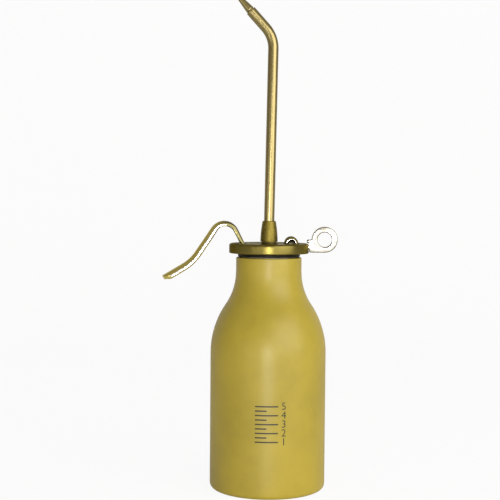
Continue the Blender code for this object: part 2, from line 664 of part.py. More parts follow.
def make_spout_tube(brass):
    """The bent tube, open from end to end."""
    bm = bmesh.new()
    rings = []
    for (x, z), turn in spout_path():
        place = Matrix.Translation((x, 0, z)) @ Matrix.Rotation(-turn, 4, "Y")
        pair = []
        for radius in (SPOUT_RADIUS, SPOUT_BORE):
            pair.append([bm.verts.new(place @ Vector((*spot, 0))) for spot in on_ring(SMALL_SIDES, radius)])
        rings.append(pair)
    for below, above in zip(rings, rings[1:]):
        for low, high in zip(below, above):
            for index in range(SMALL_SIDES):
                after = (index + 1) % SMALL_SIDES
                bm.faces.new((low[index], low[after], high[after], high[index]))
    for outer, inner in (rings[0], rings[-1]):
        for index in range(SMALL_SIDES):
            after = (index + 1) % SMALL_SIDES
            bm.faces.new((outer[index], outer[after], inner[after], inner[index]))
    return to_object("spout_tube", bm, brass)


def make_spout_nozzle(brass):
    """The tapered nozzle pushed into the tube's end."""
    (x, z), turn = spout_path()[-1]
    place = Matrix.Translation((x, 0, z)) @ Matrix.Rotation(-turn, 4, "Y")
    spigot = SPOUT_BORE - GAP
    outline = [(NOZZLE_BORE, -NOZZLE_SPIGOT), (spigot, -NOZZLE_SPIGOT), (spigot, GAP), (NOZZLE_RADIUS, GAP),
               (NOZZLE_TIP_RADIUS, NOZZLE_LENGTH), (NOZZLE_BORE, NOZZLE_LENGTH)]
    return turned("spout_nozzle", outline, brass, SMALL_SIDES, place)


def lever_path():
    """The lever's upper surface from the eye to the tip: (x, z) points with rounded corners."""
    knee = Vector((-KNEE_OUT, ARM_TOP))
    peak = Vector((-LEVER_PEAK_OUT, PIVOT_HEIGHT + LEVER_PEAK_RISE))
    bend = Vector((-LEVER_BREAK_OUT, PIVOT_HEIGHT - LEVER_BREAK_DROP))
    tip = Vector((-LEVER_TIP_OUT, PIVOT_HEIGHT - LEVER_TIP_DROP))
    reach = math.sqrt(EYE_RADIUS ** 2 - (EYE_RADIUS - ARM_THICKNESS) ** 2)
    start = Vector((PIVOT_OUT - reach, ARM_TOP))
    corners = [start, knee, peak, bend, tip]
    radii = [0, KNEE_BEND, LEVER_PEAK_BEND, LEVER_BREAK_BEND, 0]
    path = [start]
    for index in range(1, len(corners) - 1):
        path += rounded_corner(corners[index - 1], corners[index], corners[index + 1], radii[index])
    return filled(path + [tip], LEVER_STEP)


def filled(path, step):
    """The path with extra points on its straight runs, no further apart than a step."""
    points = [path[0]]
    for start, end in zip(path, path[1:]):
        count = max(1, math.ceil((end - start).length / step))
        points += [start.lerp(end, index / count) for index in range(1, count + 1)]
    return points


def rounded_corner(before, corner, after, radius, steps=ARC_STEPS + 2):
    """Points on the arc that rounds one corner of a path."""
    into = (corner - before).normalized()
    out = (after - corner).normalized()
    turn = into.angle(out)
    start = corner - into * radius * math.tan(turn / 2)
    side = 1 if into.cross(out) > 0 else -1
    normal = Vector((-into.y, into.x)) * side
    centre = start + normal * radius
    arm = start - centre
    points = []
    for step in range(steps + 1):
        spin = side * turn * step / steps
        points.append(centre + Vector((arm.x * math.cos(spin) - arm.y * math.sin(spin),
                                       arm.x * math.sin(spin) + arm.y * math.cos(spin))))
    return points


def share_at(table, share):
    """Read a table of (share, value) pairs between its entries."""
    for (start, low), (end, high) in zip(table, table[1:]):
        if share <= end:
            return low + (high - low) * (share - start) / (end - start)
    return table[-1][1]


def lever_depths(path):
    """The lever's full depth under each point of its upper surface."""
    reach = PIVOT_OUT + LEVER_TIP_OUT
    extra = LEVER_DEPTH - ARM_THICKNESS
    return [ARM_THICKNESS + extra * share_at(LEVER_DEPTH_SHARES, (PIVOT_OUT - point.x) / reach) for point in path]


def under(path, depths):
    """The path moved square to itself, towards the underside, by each point's depth."""
    moved = []
    for index, (point, depth) in enumerate(zip(path, depths)):
        before = path[max(index - 1, 0)]
        after = path[min(index + 1, len(path) - 1)]
        along = (after - before).normalized()
        moved.append(point + Vector((-along.y, along.x)) * depth)
    return moved


def lever_plan(inset):
    """The lever seen from above, drawn in by an inset."""
    half = LEVER_HALF_WIDTH - inset
    tip_round = arc((-LEVER_TIP_OUT + LEVER_HALF_WIDTH, 0), half, HALF_TURN / 2, HALF_TURN)
    upper = [(PIVOT_OUT + EYE_RADIUS + OVERRUN, EYE_HALF_WIDTH - inset),
             (ARM_WIDE_TO + ARM_TAPER, EYE_HALF_WIDTH - inset), (ARM_WIDE_TO, ARM_HALF_WIDTH - inset),
             (-ARM_WIDE_TO, ARM_HALF_WIDTH - inset), (-ARM_NARROW_AT, KNEE_HALF_WIDTH - inset),
             (-LEVER_SLOT_FROM, KNEE_HALF_WIDTH - inset), (-LEVER_FULL_WIDTH_OUT, half)]
    upper += tip_round
    return upper + [(x, -y) for x, y in upper[::-1]][1:]


def make_lever(steel):
    """The pressed thumb lever: eye, arm with its stem hole and pips, knee, and channel to the tip."""
    path = lever_path()
    depths = lever_depths(path)
    lower = under(path, depths)
    eye = arc((PIVOT_OUT, PIVOT_HEIGHT), EYE_RADIUS, -HALF_TURN / 2,
              HALF_TURN + math.asin((EYE_RADIUS - ARM_THICKNESS) / EYE_RADIUS), SIDES)
    side = eye[:-1] + [tuple(point) for point in path] + [tuple(point) for point in lower[:0:-1]]
    wide = ARM_HALF_WIDTH + OVERRUN
    lever = extruded("lever", side, "Y", -wide, wide, steel)
    low = PIVOT_HEIGHT - LEVER_TIP_DROP - LEVER_DEPTH - OVERRUN
    high = PIVOT_HEIGHT + LEVER_PEAK_RISE + OVERRUN
    combine(lever, extruded("lever_plan", lever_plan(0), "Z", low, high, steel), "INTERSECT")
    outside = [index for index, point in enumerate(path) if depths[index] > ARM_THICKNESS]
    web = [LEVER_SHEET] * len(path)
    beyond = [depth + OVERRUN for depth in depths]
    top_of_hollow = [tuple(point) for point in under(path, web)][outside[0]:]
    floor_of_hollow = [tuple(point) for point in under(path, beyond)][outside[0]:]
    hollow = extruded("lever_hollow", top_of_hollow + floor_of_hollow[::-1], "Y", -wide, wide, steel)
    combine(hollow, extruded("hollow_plan", lever_plan(LEVER_SHEET), "Z", low - OVERRUN, high + OVERRUN, steel),
            "INTERSECT")
    stem_hole = arc((STEM_EYE_LENGTH - STEM_EYE_RADIUS, 0), STEM_EYE_RADIUS, -HALF_TURN / 2, HALF_TURN / 2)
    stem_hole += [(-x, -y) for x, y in stem_hole]
    cut(lever, extruded("lever_stem_hole", stem_hole, "Z", ARM_BOTTOM - OVERRUN, ARM_TOP + OVERRUN, steel),
        cross_rod("lever_bore", EYE_BORE, wide + OVERRUN, (PIVOT_OUT, PIVOT_HEIGHT), steel))
    for index, side_sign in enumerate((1, -1)):
        y = side_sign * (STEM_EYE_RADIUS + ARM_HALF_WIDTH) / 2
        join(lever, rod(f"pip_{index}", PIP_RADIUS, ARM_BOTTOM - PIP_HEIGHT, ARM_BOTTOM + ARM_THICKNESS / 2,
                        (0, y), steel, SCREW_SIDES))
    cut(lever, hollow)
    return lever


def make_plunger(brass):
    """The hollow plunger: a wide chamber at its foot for the delivery ball, a narrow bore above."""
    shoulder = STEM_BOTTOM + STEM_CHAMBER_LENGTH
    outline = [(STEM_CHAMBER, STEM_BOTTOM), (STEM_RADIUS, STEM_BOTTOM), (STEM_RADIUS, STEM_TOP),
               (STEM_BORE, STEM_TOP), (STEM_BORE, shoulder), (STEM_CHAMBER, shoulder)]
    return turned("plunger_tube", outline, brass, SMALL_SIDES)


def make_collar(brass):
    """The collar on the plunger that the lever's two pips press down."""
    inner = STEM_RADIUS + GAP
    outline = [(inner, COLLAR_BOTTOM), (COLLAR_RADIUS, COLLAR_BOTTOM), (COLLAR_RADIUS, COLLAR_TOP),
               (inner, COLLAR_TOP)]
    return turned("plunger_collar", outline, brass)


def make_spring(name, wire, mean_radius, turns, low, high, steel):
    """One unbroken round-wire spring between two heights, both over the wire's outside."""
    base = low + wire / 2
    rise = high - low - wire
    count = turns * SPRING_POINTS_A_TURN
    points = []
    for index in range(count + 1):
        angle = FULL_TURN * index / SPRING_POINTS_A_TURN
        points.append(Vector((mean_radius * math.cos(angle), mean_radius * math.sin(angle),
                              base + rise * index / count)))
    apart = [(points[index + SPRING_POINTS_A_TURN] - points[index]).length
             for index in range(count + 1 - SPRING_POINTS_A_TURN)]
    print(f"{name}: least gap between curls {1000 * (min(apart) - wire):.2f} mm")
    curve = bpy.data.curves.new(name, "CURVE")
    curve.dimensions = "3D"
    curve.bevel_depth = wire / 2
    curve.bevel_resolution = 1
    curve.use_fill_caps = True
    spline = curve.splines.new("POLY")
    spline.points.add(count)
    for spot, point in zip(spline.points, points):
        spot.co = (*point, 1)
    curve.materials.append(steel)
    made = bpy.data.objects.new(name, curve)
    bpy.context.scene.collection.objects.link(made)
    return made


def make_piston(brass):
    """The piston with its nose in the plunger, its stud below and a bore right through."""
    nose = STEM_CHAMBER - GAP
    radius = BARREL_BORE - GAP
    stud_end = PISTON_BOTTOM - PISTON_STUD_LENGTH
    outline = [(PISTON_BORE, stud_end), (PISTON_STUD_RADIUS, stud_end), (PISTON_STUD_RADIUS, PISTON_BOTTOM),
               (radius, PISTON_BOTTOM), (radius, PISTON_TOP), (nose, PISTON_TOP), (nose, NOSE_TOP),
               (PISTON_BORE, NOSE_TOP)]
    return turned("piston", outline, brass)


def make_cup_seal(leather):
    """The cup seal under the piston, its skirt towards the foot valve."""
    inner = PISTON_STUD_RADIUS + GAP
    outer = BARREL_BORE - GAP
    top = PISTON_BOTTOM - GAP
    low = top - CUP_SEAL_DEPTH
    outline = [(inner, top), (outer, top), (outer, low), (outer - CUP_SEAL_SHEET, low),
               (outer - CUP_SEAL_SHEET, top - CUP_SEAL_SHEET), (inner, top - CUP_SEAL_SHEET)]
    return turned("cup_seal", outline, leather)


def make_piston_nut(brass):
    """The hexagon nut that holds the cup seal on the piston's stud."""
    inner = PISTON_STUD_RADIUS + GAP
    top = PISTON_BOTTOM - GAP - CUP_SEAL_SHEET - GAP
    low = top - NUT_HEIGHT
    nut = turned("piston_nut", [(0, low), (NUT_RADIUS, low), (NUT_RADIUS, top), (0, top)], brass, HEX_SIDES)
    cut(nut, rod("nut_bore", inner, low - OVERRUN, top + OVERRUN, (0, 0), brass))
    return nut


def ball_height(seat, ball_radius, seat_radius):
    """The centre of a ball that rests, with the usual gap, on a round seat."""
    return seat + math.sqrt((ball_radius + GAP) ** 2 - seat_radius ** 2)


def make_ball(name, radius, height, steel):
    """A valve ball."""
    outline = arc((0, height), radius, -HALF_TURN / 2, HALF_TURN / 2, SCREW_SIDES)
    outline[0] = (0, height - radius)
    outline[-1] = (0, height + radius)
    return turned(name, outline, steel, SMALL_SIDES)


def make_barrel(plastic):
    """The pump barrel that hangs under the plug's floor."""
    outer = BARREL_BORE + BARREL_WALL
    hole = VALVE_RADIUS + GAP
    outline = [(hole, BARREL_BOTTOM), (outer, BARREL_BOTTOM), (outer, BARREL_TOP - BARREL_FLANGE),
               (BARREL_FLANGE_RADIUS, BARREL_TOP - BARREL_FLANGE), (BARREL_FLANGE_RADIUS, BARREL_TOP),
               (BARREL_BORE, BARREL_TOP), (BARREL_BORE, BARREL_FLOOR_TOP), (hole, BARREL_FLOOR_TOP)]
    barrel = turned("pump_barrel", outline, plastic, SIDES)
    screw_holes(barrel, BARREL_TOP - BARREL_FLANGE, BARREL_TOP, plastic)
    return barrel


def make_gasket(fibre):
    """The flat gasket between the barrel's flange and the plug's floor."""
    low = GASKET_TOP - GASKET_THICKNESS
    outline = [(BARREL_BORE, low), (BARREL_FLANGE_RADIUS, low), (BARREL_FLANGE_RADIUS, GASKET_TOP),
               (BARREL_BORE, GASKET_TOP)]
    gasket = turned("barrel_gasket", outline, fibre)
    screw_holes(gasket, low, GASKET_TOP, fibre)
    return gasket


def barrel_screw_places():
    """Where the barrel's screws stand round the axis."""
    return on_ring(BARREL_SCREWS, BARREL_SCREW_OUT, FULL_TURN / BARREL_SCREWS / 2)


def screw_holes(target, low, high, surface):
    """Drill the ring of barrel screw holes through one piece."""
    for index, (x, y) in enumerate(barrel_screw_places()):
        cut(target, rod(f"{target.name}_hole_{index}", BARREL_SCREW_HOLE, low - OVERRUN / 2,
                        high + OVERRUN / 2, (x, y), surface, SCREW_SIDES))


def make_barrel_screws(steel):
    """The screws that hold the barrel, heads inside the cup."""
    head_low = CUP_FLOOR_TOP + GAP
    head_top = head_low + BARREL_SCREW_HEAD_HEIGHT
    end = head_low - BARREL_SCREW_LENGTH
    outline = [(0, end), (BARREL_SCREW_RADIUS, end), (BARREL_SCREW_RADIUS, head_low),
               (BARREL_SCREW_HEAD, head_low), (BARREL_SCREW_HEAD, head_top), (0, head_top)]
    return [turned(f"barrel_screw_{index}", outline, steel, SCREW_SIDES, Matrix.Translation((x, y, 0)))
            for index, (x, y) in enumerate(barrel_screw_places(), 1)]


def make_foot_valve(brass):
    """The valve body in the barrel's floor: chamber, seat and a socket for the suction tube."""
    recess = VALVE_CHAMBER + CAGE_RECESS
    recess_floor = VALVE_TOP - CAGE_DEPTH - GAP
    flange_top = BARREL_BOTTOM - GAP
    flange_low = flange_top - VALVE_FLANGE
    socket = SUCTION_RADIUS + GAP
    outline = [(socket, VALVE_BOTTOM), (VALVE_RADIUS, VALVE_BOTTOM), (VALVE_RADIUS, flange_low),
               (VALVE_FLANGE_RADIUS, flange_low), (VALVE_FLANGE_RADIUS, flange_top), (VALVE_RADIUS, flange_top),
               (VALVE_RADIUS, VALVE_TOP), (recess, VALVE_TOP), (recess, recess_floor),
               (VALVE_CHAMBER, recess_floor), (VALVE_CHAMBER, VALVE_SEAT), (VALVE_BORE, VALVE_SEAT),
               (VALVE_BORE, SOCKET_TOP), (socket, SOCKET_TOP)]
    return turned("foot_valve", outline, brass)


def make_ball_cage(brass):
    """The pierced disc that keeps the foot ball in its chamber."""
    low = VALVE_TOP - CAGE_DEPTH
    top = low + CAGE_THICKNESS
    radius = VALVE_CHAMBER + CAGE_RECESS - GAP
    cage = turned("ball_cage", [(0, low), (radius, low), (radius, top), (0, top)], brass, SMALL_SIDES)
    for index, (x, y) in enumerate(on_ring(CAGE_HOLES, VALVE_CHAMBER / 2)):
        cut(cage, rod(f"cage_hole_{index}", CAGE_HOLE_RADIUS, low - OVERRUN, top + OVERRUN, (x, y), brass,
                      SCREW_SIDES))
    return cage


def make_suction_tube(plastic):
    """The tube from the foot valve down to the strainer."""
    top = SOCKET_TOP - GAP
    outline = [(SUCTION_BORE, SUCTION_FOOT), (SUCTION_RADIUS, SUCTION_FOOT), (SUCTION_RADIUS, top),
               (SUCTION_BORE, top)]
    return turned("suction_tube", outline, plastic, SMALL_SIDES)


def make_strainer(plastic):
    """The slotted cup round the suction tube's foot, a little above the bottle's floor."""
    inner = SUCTION_RADIUS + GAP
    outer = inner + STRAINER_WALL
    low = BOTTLE_WALL + STRAINER_FLOOR_RISE
    floor = low + STRAINER_WALL
    top = low + STRAINER_HEIGHT
    outline = [(0, low), (outer, low), (outer, top), (inner, top), (inner, floor), (0, floor)]
    strainer = turned("strainer", outline, plastic, SMALL_SIDES)
    for index in range(STRAINER_SLOTS // 2):
        slot = block(f"strainer_slot_{index}", (-outer - OVERRUN, -STRAINER_SLOT_WIDTH / 2, floor),
                     (outer + OVERRUN, STRAINER_SLOT_WIDTH / 2, floor + STRAINER_SLOT_HEIGHT), plastic)
        slot.rotation_euler.z = FULL_TURN * index / STRAINER_SLOTS
        cut(strainer, slot)
    return strainer


def main():
    """Make every piece and hang the moving ones on their joints' axes."""
    clear_scene()
    bottle_plastic = material("bottle_plastic", (0.46, 0.38, 0.06), 0.45)
    cap_steel = material("olive_plated_steel", (0.28, 0.25, 0.07), 0.35, 0.9)
    bright_steel = material("bright_steel", (0.78, 0.74, 0.55), 0.25, 1.0)
    cast_brass = material("cast_brass", (0.30, 0.26, 0.09), 0.5, 0.9)
    tube_brass = material("tube_brass", (0.45, 0.38, 0.13), 0.3, 1.0)
    rubber = material("black_rubber", (0.01, 0.01, 0.01), 0.6)
    plug_plastic = material("plug_plastic", (0.60, 0.58, 0.50), 0.5)
    fibre = material("red_fibre", (0.25, 0.05, 0.03), 0.8)

    make_bottle(bottle_plastic)
    seal = make_seal_ring(rubber)
    return_low = CUP_FLOOR_TOP + GAP
    foot_ball_height = ball_height(VALVE_SEAT, FOOT_BALL_RADIUS, VALVE_BORE)
    foot_ball = make_ball("foot_ball", FOOT_BALL_RADIUS, foot_ball_height, bright_steel)
    head = [make_cap_cover(cap_steel), make_cap_base(plug_plastic), make_pivot_bracket(cap_steel),
            make_pivot_pin(bright_steel), make_hang_ring(bright_steel), make_barrel(plug_plastic),
            make_gasket(fibre), make_foot_valve(cast_brass), make_ball_cage(cast_brass),
            make_suction_tube(plug_plastic), make_strainer(plug_plastic),
            make_spring("return_spring", RETURN_WIRE, RETURN_MEAN_RADIUS, RETURN_TURNS, return_low,
                        COLLAR_BOTTOM - GAP, bright_steel)]
    spout = [make_hub(cast_brass), make_hub_washer(fibre), make_hub_clip(bright_steel), make_stem_packing(rubber),
             make_spout_tube(tube_brass), make_spout_nozzle(tube_brass)]
    ball_centre = ball_height(NOSE_TOP, DELIVERY_BALL_RADIUS, PISTON_BORE)
    delivery_ball = make_ball("delivery_ball", DELIVERY_BALL_RADIUS, ball_centre, bright_steel)
    spring_low = ball_centre + DELIVERY_SPRING_LIFT
    spring_high = STEM_BOTTOM + STEM_CHAMBER_LENGTH - GAP
    delivery_spring = make_spring("delivery_spring", DELIVERY_WIRE, DELIVERY_MEAN_RADIUS, DELIVERY_TURNS,
                                  spring_low, spring_high, bright_steel)
    plunger = [make_plunger(cast_brass), make_collar(cast_brass), make_piston(cast_brass),
               make_cup_seal(rubber), make_piston_nut(cast_brass), delivery_spring]
    head += make_bracket_screws(bright_steel) + make_barrel_screws(bright_steel)
    carried("head_axis", (0, 0, SEAT), head + [seal])
    carried("spout_axis", (0, 0, HUB_BOTTOM), spout)
    carried("lever_axis", (PIVOT_OUT, 0, PIVOT_HEIGHT), [make_lever(bright_steel)])
    carried("plunger_axis", (0, 0, COLLAR_TOP), plunger)
    carried("delivery_ball_axis", (0, 0, ball_centre), [delivery_ball])
    carried("foot_ball_axis", (0, 0, foot_ball_height), [foot_ball])


main()
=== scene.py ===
"""Dresses the pump oiler's fixed frame: finished meshes, plated and moulded surfaces, studio and camera."""

import json
import math

import bmesh
import bpy
from bpy.props import FloatProperty, FloatVectorProperty, PointerProperty
from mathutils import Matrix, Vector


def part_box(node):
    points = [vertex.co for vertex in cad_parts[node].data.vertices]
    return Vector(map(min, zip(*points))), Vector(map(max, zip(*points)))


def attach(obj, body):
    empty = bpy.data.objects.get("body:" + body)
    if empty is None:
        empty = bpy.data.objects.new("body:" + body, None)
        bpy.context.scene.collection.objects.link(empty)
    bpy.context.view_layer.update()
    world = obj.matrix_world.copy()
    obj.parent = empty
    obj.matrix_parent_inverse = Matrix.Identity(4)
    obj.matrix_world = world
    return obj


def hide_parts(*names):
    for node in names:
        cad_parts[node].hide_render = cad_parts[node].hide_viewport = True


bl_info = {
    "name": "Pump Oiler",
    "version": (1, 0, 0),
    "blender": (4, 5, 0),
    "location": "3D View > Sidebar > Oiler",
    "description": "Builds the finished pieces of a thumb-lever pump oiler round its fixed frame",
    "category": "Object",
}

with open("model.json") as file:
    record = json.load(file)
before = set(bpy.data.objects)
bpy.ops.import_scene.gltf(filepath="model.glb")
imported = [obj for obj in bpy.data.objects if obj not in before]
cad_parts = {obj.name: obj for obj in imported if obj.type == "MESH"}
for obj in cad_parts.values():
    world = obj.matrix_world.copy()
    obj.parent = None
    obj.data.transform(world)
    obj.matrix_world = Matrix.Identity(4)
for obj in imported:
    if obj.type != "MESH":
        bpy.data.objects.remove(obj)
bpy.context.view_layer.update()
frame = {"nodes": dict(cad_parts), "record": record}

# Values shared by several pieces: lengths in metres, turns, steps of a round and sides of a turned piece
WELD = 0.000001
QUARTER_TURN = math.pi / 2
HALF_TURN = math.pi
FULL_TURN = 2 * math.pi
CREASE_ANGLE = math.radians(32)
BEVEL_ANGLE = math.radians(40)
LIP_STEPS = 5
ROUND_STEPS = 6
EDGE_STEPS = 8
RIM_STEPS = 10
WALL_STEPS = 12
BEND_STEPS = 32
FINE_BEVEL = 2
SOFT_BEVEL = 3
ROUND_SIDES = 160
MIDDLE_SIDES = 96
RING_SIDES = 72
TUBE_SIDES = 64
SMALL_SIDES = 48

# Places read from the frame: low and high corners of the nodes at rest
BOTTLE_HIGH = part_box("bottle")[1]
COVER_LOW, COVER_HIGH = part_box("cap_cover")
SEAL_LOW, SEAL_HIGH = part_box("seal_ring")
HUB_LOW, HUB_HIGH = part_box("spout_hub")
TUBE_LOW, TUBE_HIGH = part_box("spout_tube")
RING_LOW, RING_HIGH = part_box("hang_ring")
PIN_LOW, PIN_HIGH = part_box("pivot_pin")
BRACKET_LOW, BRACKET_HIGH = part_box("pivot_bracket")
CAP_TOP = COVER_HIGH.z
PIVOT = Vector(((PIN_LOW.x + PIN_HIGH.x) / 2, 0, (PIN_LOW.z + PIN_HIGH.z) / 2))
PRINT_RISE = 0.00004
BOTTLE_RADIUS = BOTTLE_HIGH.x - PRINT_RISE
LIP = BOTTLE_HIGH.z
COVER_RADIUS = COVER_HIGH.x
HUB_RADIUS = HUB_HIGH.x
TUBE_RADIUS = TUBE_HIGH.y
SEAL_RADIUS = SEAL_HIGH.x

# The bottle, blown in one piece
BOTTLE_WALL = 0.0016
FOOT_CORNER = 0.0030
SHOULDER_START = 0.0790
SHOULDER_END = 0.1260
SHOULDER_CONVEX_SHARE = 0.60
SHOULDER_STEPS = 24
NECK_RADIUS = 0.0190
MOUTH_RADIUS = 0.0159
LIP_ROUND = 0.0006
THREAD_DEPTH = 0.0006
THREAD_PITCH = 0.0025
THREAD_TURNS = 2
THREAD_TOP_DROP = 0.0014
THREAD_FORM_SHARES = ((0.0, 0.0), (0.12, 0.55), (0.3, 1.0), (0.5, 1.0), (0.68, 0.55), (0.8, 0.0))
SEAM_HALF_WIDTH = 0.00022
SEAM_RISE = 0.00009
SEAM_SINK = 0.0004
SEAM_SKIPS = 6

# The plain scale printed on the bottle
SCALE_LOW = 0.0330
SCALE_STEP = 0.0050
SCALE_MARKS = 5
SCALE_LONG = 0.0130
SCALE_SHORT = 0.0065
SCALE_STROKE = 0.00075
SCALE_NUMBER_HEIGHT = 0.0042
SCALE_NUMBER_GAP = 0.0022
SCALE_COLUMNS = 14
NUMBER_HEIGHT_SHARE = 0.7
NUMBER_THINNING = 0.000025

# The pressed cover
COVER_SHEET = 0.0010
COVER_EDGE_ROUND = 0.0013
COVER_FOOT_ROUND = 0.0006
CRIMP_SHEET = 0.0008
CRIMP_WIDTH = 0.0031
SPIGOT_HOLE_RADIUS = 0.0044
LEVER_SLOT = (-0.0214, -0.0130, 0.0046)
PIVOT_SLOT = (0.0083, 0.0175, 0.0068)
SLOT_ROUND = 0.0012
SLOT_EDGE = 0.00018
OVERRUN = 0.0020
GAP = 0.0003
SEAL_ROUND = 0.0004

# The pivot bracket and its flared pin
EAR_RADIUS = 0.0040
EAR_INNER = 0.0038
EAR_SHEET = 0.0012
EAR_BACK_OUT = 0.0057
EAR_EDGE = 0.00028
FOOT_LENGTH = 0.0030
FOOT_SHEET = 0.0008
EYE_BORE = 0.0026
PIN_BORE = 0.0015
PIN_FLARE = 0.0009
PIN_NEAR = 0.0053
PIN_END = 0.0008
PIN_MOUTH = 0.0026
PIN_DISH = 0.0019

# The hanging ring
RING_RADIUS = 0.0075
RING_HOLE = 0.00425
RING_TAB_FROM = 0.0220
RING_EDGE = 0.00078
RING_CENTRE = (0.0323, 0.1449)

# The hub, the spout tube and its nozzle
HUB_TOP_RADIUS = 0.0039
HUB_CHAMFER = 0.0005
HUB_SOCKET_DEPTH = 0.0064
HUB_SWELL = 0.00022
HUB_COLLAR = 0.0009
STEM_CLEARANCE_RADIUS = 0.0028
SPOUT_BORE = 0.0020
SPOUT_LEAN = math.radians(0.9)
SPOUT_BEND_START = 0.2546
SPOUT_BEND_RADIUS = 0.0180
SPOUT_BEND_ANGLE = math.radians(42)
SPOUT_END_LENGTH = 0.0128
SPOUT_EDGE = 0.00025
SPOUT_STEPS = 24
NOZZLE_LENGTH = 0.0095
NOZZLE_RADIUS = 0.00245
NOZZLE_TIP_RADIUS = 0.00145
NOZZLE_BORE = 0.0008
NOZZLE_SPIGOT = 0.0060
NOZZLE_ROUND = 0.0004

# The lever, bent from one strip: corners of its upper surface, then its channel
ARM_THICKNESS = 0.0012
ARM_HALF_WIDTH = 0.0076
ARM_WIDE_TO = 0.0070
ARM_TAPER = 0.0018
ARM_NARROW_AT = 0.0110
ARM_NARROW_SHARE = 0.02
ARM_EDGE = 0.0003
EYE_RADIUS = 0.0037
EYE_HALF_WIDTH = 0.0035
STEM_EYE_LENGTH = 0.0052
STEM_EYE_RADIUS = 0.0046
KNEE_HALF_WIDTH = 0.0030
KNEE_OUT = 0.0129
KNEE_BEND = 0.0020
LEVER_PEAK = (-0.0249, 0.0217)
LEVER_PEAK_BEND = 0.0089
LEVER_BREAK = (-0.0458, -0.0095)
LEVER_BREAK_BEND = 0.0250
LEVER_TIP = (-0.0620, -0.0192)
LEVER_HALF_WIDTH = 0.0046
LEVER_SHEET = 0.0010
LEVER_DEPTH = 0.0043
LEVER_DEPTH_SHARES = ((0.0, 0.0), (0.353, 0.0), (0.375, 0.42), (0.49, 0.55), (0.67, 0.93), (0.95, 1.0),
                      (1.0, 0.5))
LEVER_FULL_WIDTH_OUT = 0.0270
LEVER_LOFT_FROM = 0.0100
LEVER_STEP = 0.0009
LEVER_BEND_STEPS = 26
LEVER_EDGE = 0.0027
LEVER_LIP = 0.00090
LEVER_TIP_STEPS = 16
LEVER_ROLL_STEPS = 7
CORNER_STEPS = 4
HOLE_STEPS = 20
LEVER_EDGE_SHARE = 0.9
LEVER_ROLL_SHARE = 0.62
LEVER_LIP_SHARE = 0.22
INNER_LIP_SHARE = 0.8
SOLID_HALF_SHARE = 0.4
SOLID_DEPTH_SHARE = 1.35
LEVER_THIN_WALL = 0.0001
LEVER_THIN_FLOOR = 0.00001
LEVER_THIN_LIP = 0.00002
LEVER_THIN_HOLLOW = 0.00003
LEVER_THIN_HALF = 0.00004
PIP_RADIUS = 0.0010
PIP_HEIGHT = 0.0009

# The pump barrel and the pick-up tube
BARREL_RADIUS = 0.0090
BARREL_BORE = 0.0075
BARREL_FLANGE_RADIUS = 0.0130
BARREL_FLANGE = 0.0017
BARREL_ROUND = 0.0010
BARREL_SCREW_RADIUS = 0.0011
BARREL_SCREWS = 4
VALVE_HOLE_RADIUS = 0.0049
SUCTION_BORE = 0.00205
SUCTION_EDGE = 0.0003
SUCTION_STEPS = 16

# The studio, with each panel as its place and its width and height
SENSOR = 36.0
PAPER_REACH = 2.4
PAPER_BACK = 1.1
PAPER_BEND = 0.5
PAPER_HEIGHT = 2.2
PAPER_STEPS = 24
PAPER_GLOW = 0.92
PAPER_SHEEN = 0.18
PANEL_AIM = (0.0, 0.0, 0.14)
ROOM_COLOUR = (1.0, 0.94, 0.80, 1.0)
WHITE = (1.0, 1.0, 1.0, 1.0)
FRONT_PANEL = ((-0.03, -1.20, 0.065), (0.10, 0.09))
FACE_CARD = ((0.0, -1.25, 0.12), (0.30, 0.24))
RIGHT_PANEL = ((0.75, -0.86, 0.50), (1.25, 0.90))
LEFT_PANEL = ((-0.66, -0.92, 0.10), (0.56, 0.20))

# A display colour's curve
BYTE_TOP = 255
SRGB_KNEE = 0.04045
SRGB_SLOPE = 12.92
SRGB_LIFT = 0.055
SRGB_POWER = 2.4

# Noise patterns of the finishes: scale, detail and roughness
BOTTLE_CLOUD = (26.0, 4.0, 0.6)
BOTTLE_SCUFF = (90.0, 6.0, 0.7)
BOTTLE_GRAIN = (1500.0, 2.0, 0.5)
BOTTLE_WAVES = (110.0, 2.0, 0.5)
CAP_BLOTCH = (70.0, 5.0, 0.65)
CAP_RINGS = (2600.0, 2.0, 0.5)
CAP_GRAIN = (420.0, 3.0, 0.6)
HUB_GRIT = (1100.0, 4.0, 0.7)
HUB_CLOUD = (140.0, 4.0, 0.6)
SPOUT_LINES = (1400.0, 3.0, 0.6)
SPOUT_STAIN = (60.0, 6.0, 0.65)
SPOUT_SPOTS = (520.0, 3.0, 0.7)
PLATING_FILM = (75.0, 5.0, 0.6)
PLATING_LINES = (1000.0, 2.0, 0.5)
PLATING_WAVES = (230.0, 2.0, 0.5)
RUBBER_BLOOM = (160.0, 4.0, 0.6)
RUBBER_GRAIN = (900.0, 2.0, 0.5)
PLUG_FLOW = (45.0, 4.0, 0.6)
PLUG_GRAIN = (700.0, 2.0, 0.5)
FIBRE_WEAVE = (650.0, 5.0, 0.7)
INK_PATCH = (380.0, 5.0, 0.7)
PAPER_GRAIN = (40.0, 3.0, 0.5)

# Relief of the finishes and how far light goes into the plastics, in metres
GRAIN_DEPTH = 0.0002
PIT_DEPTH = 0.0003
PLATING_DEPTH = 0.0004
WAVE_DEPTH = 0.0006
INK_DEPTH = 0.0001
BOTTLE_SCATTER = (0.004, 0.003, 0.001)
PLUG_SCATTER = (0.003, 0.003, 0.002)

# Painted shade on the bright plating where its faces turn off Y, and on the lever's root near the cap:
# shares of red, green and blue that it lets through, and where it lies
PAINTED_SHADE_SHARES = (0.15, 0.135, 0.06)
PAINTED_SHADE_TURNED = (0.93, 0.985)
LEVER_PAINTED_SHADE_SHARES = (1.0, 0.88, 0.30)
LEVER_PAINTED_SHADE_TURNED = (0.965, 0.995)
ROOT_PAINTED_SHADE_SHARES = (0.27, 0.25, 0.12)
ROOT_PAINTED_SHADE_REACH = (-0.0310, -0.0235)

# The bracket's share of the cap's colour, a darker copy that paints shade on its ears, and the finishes once
# they are made
BRACKET_SHADE_SHARE = 0.4
FINISHES = {}


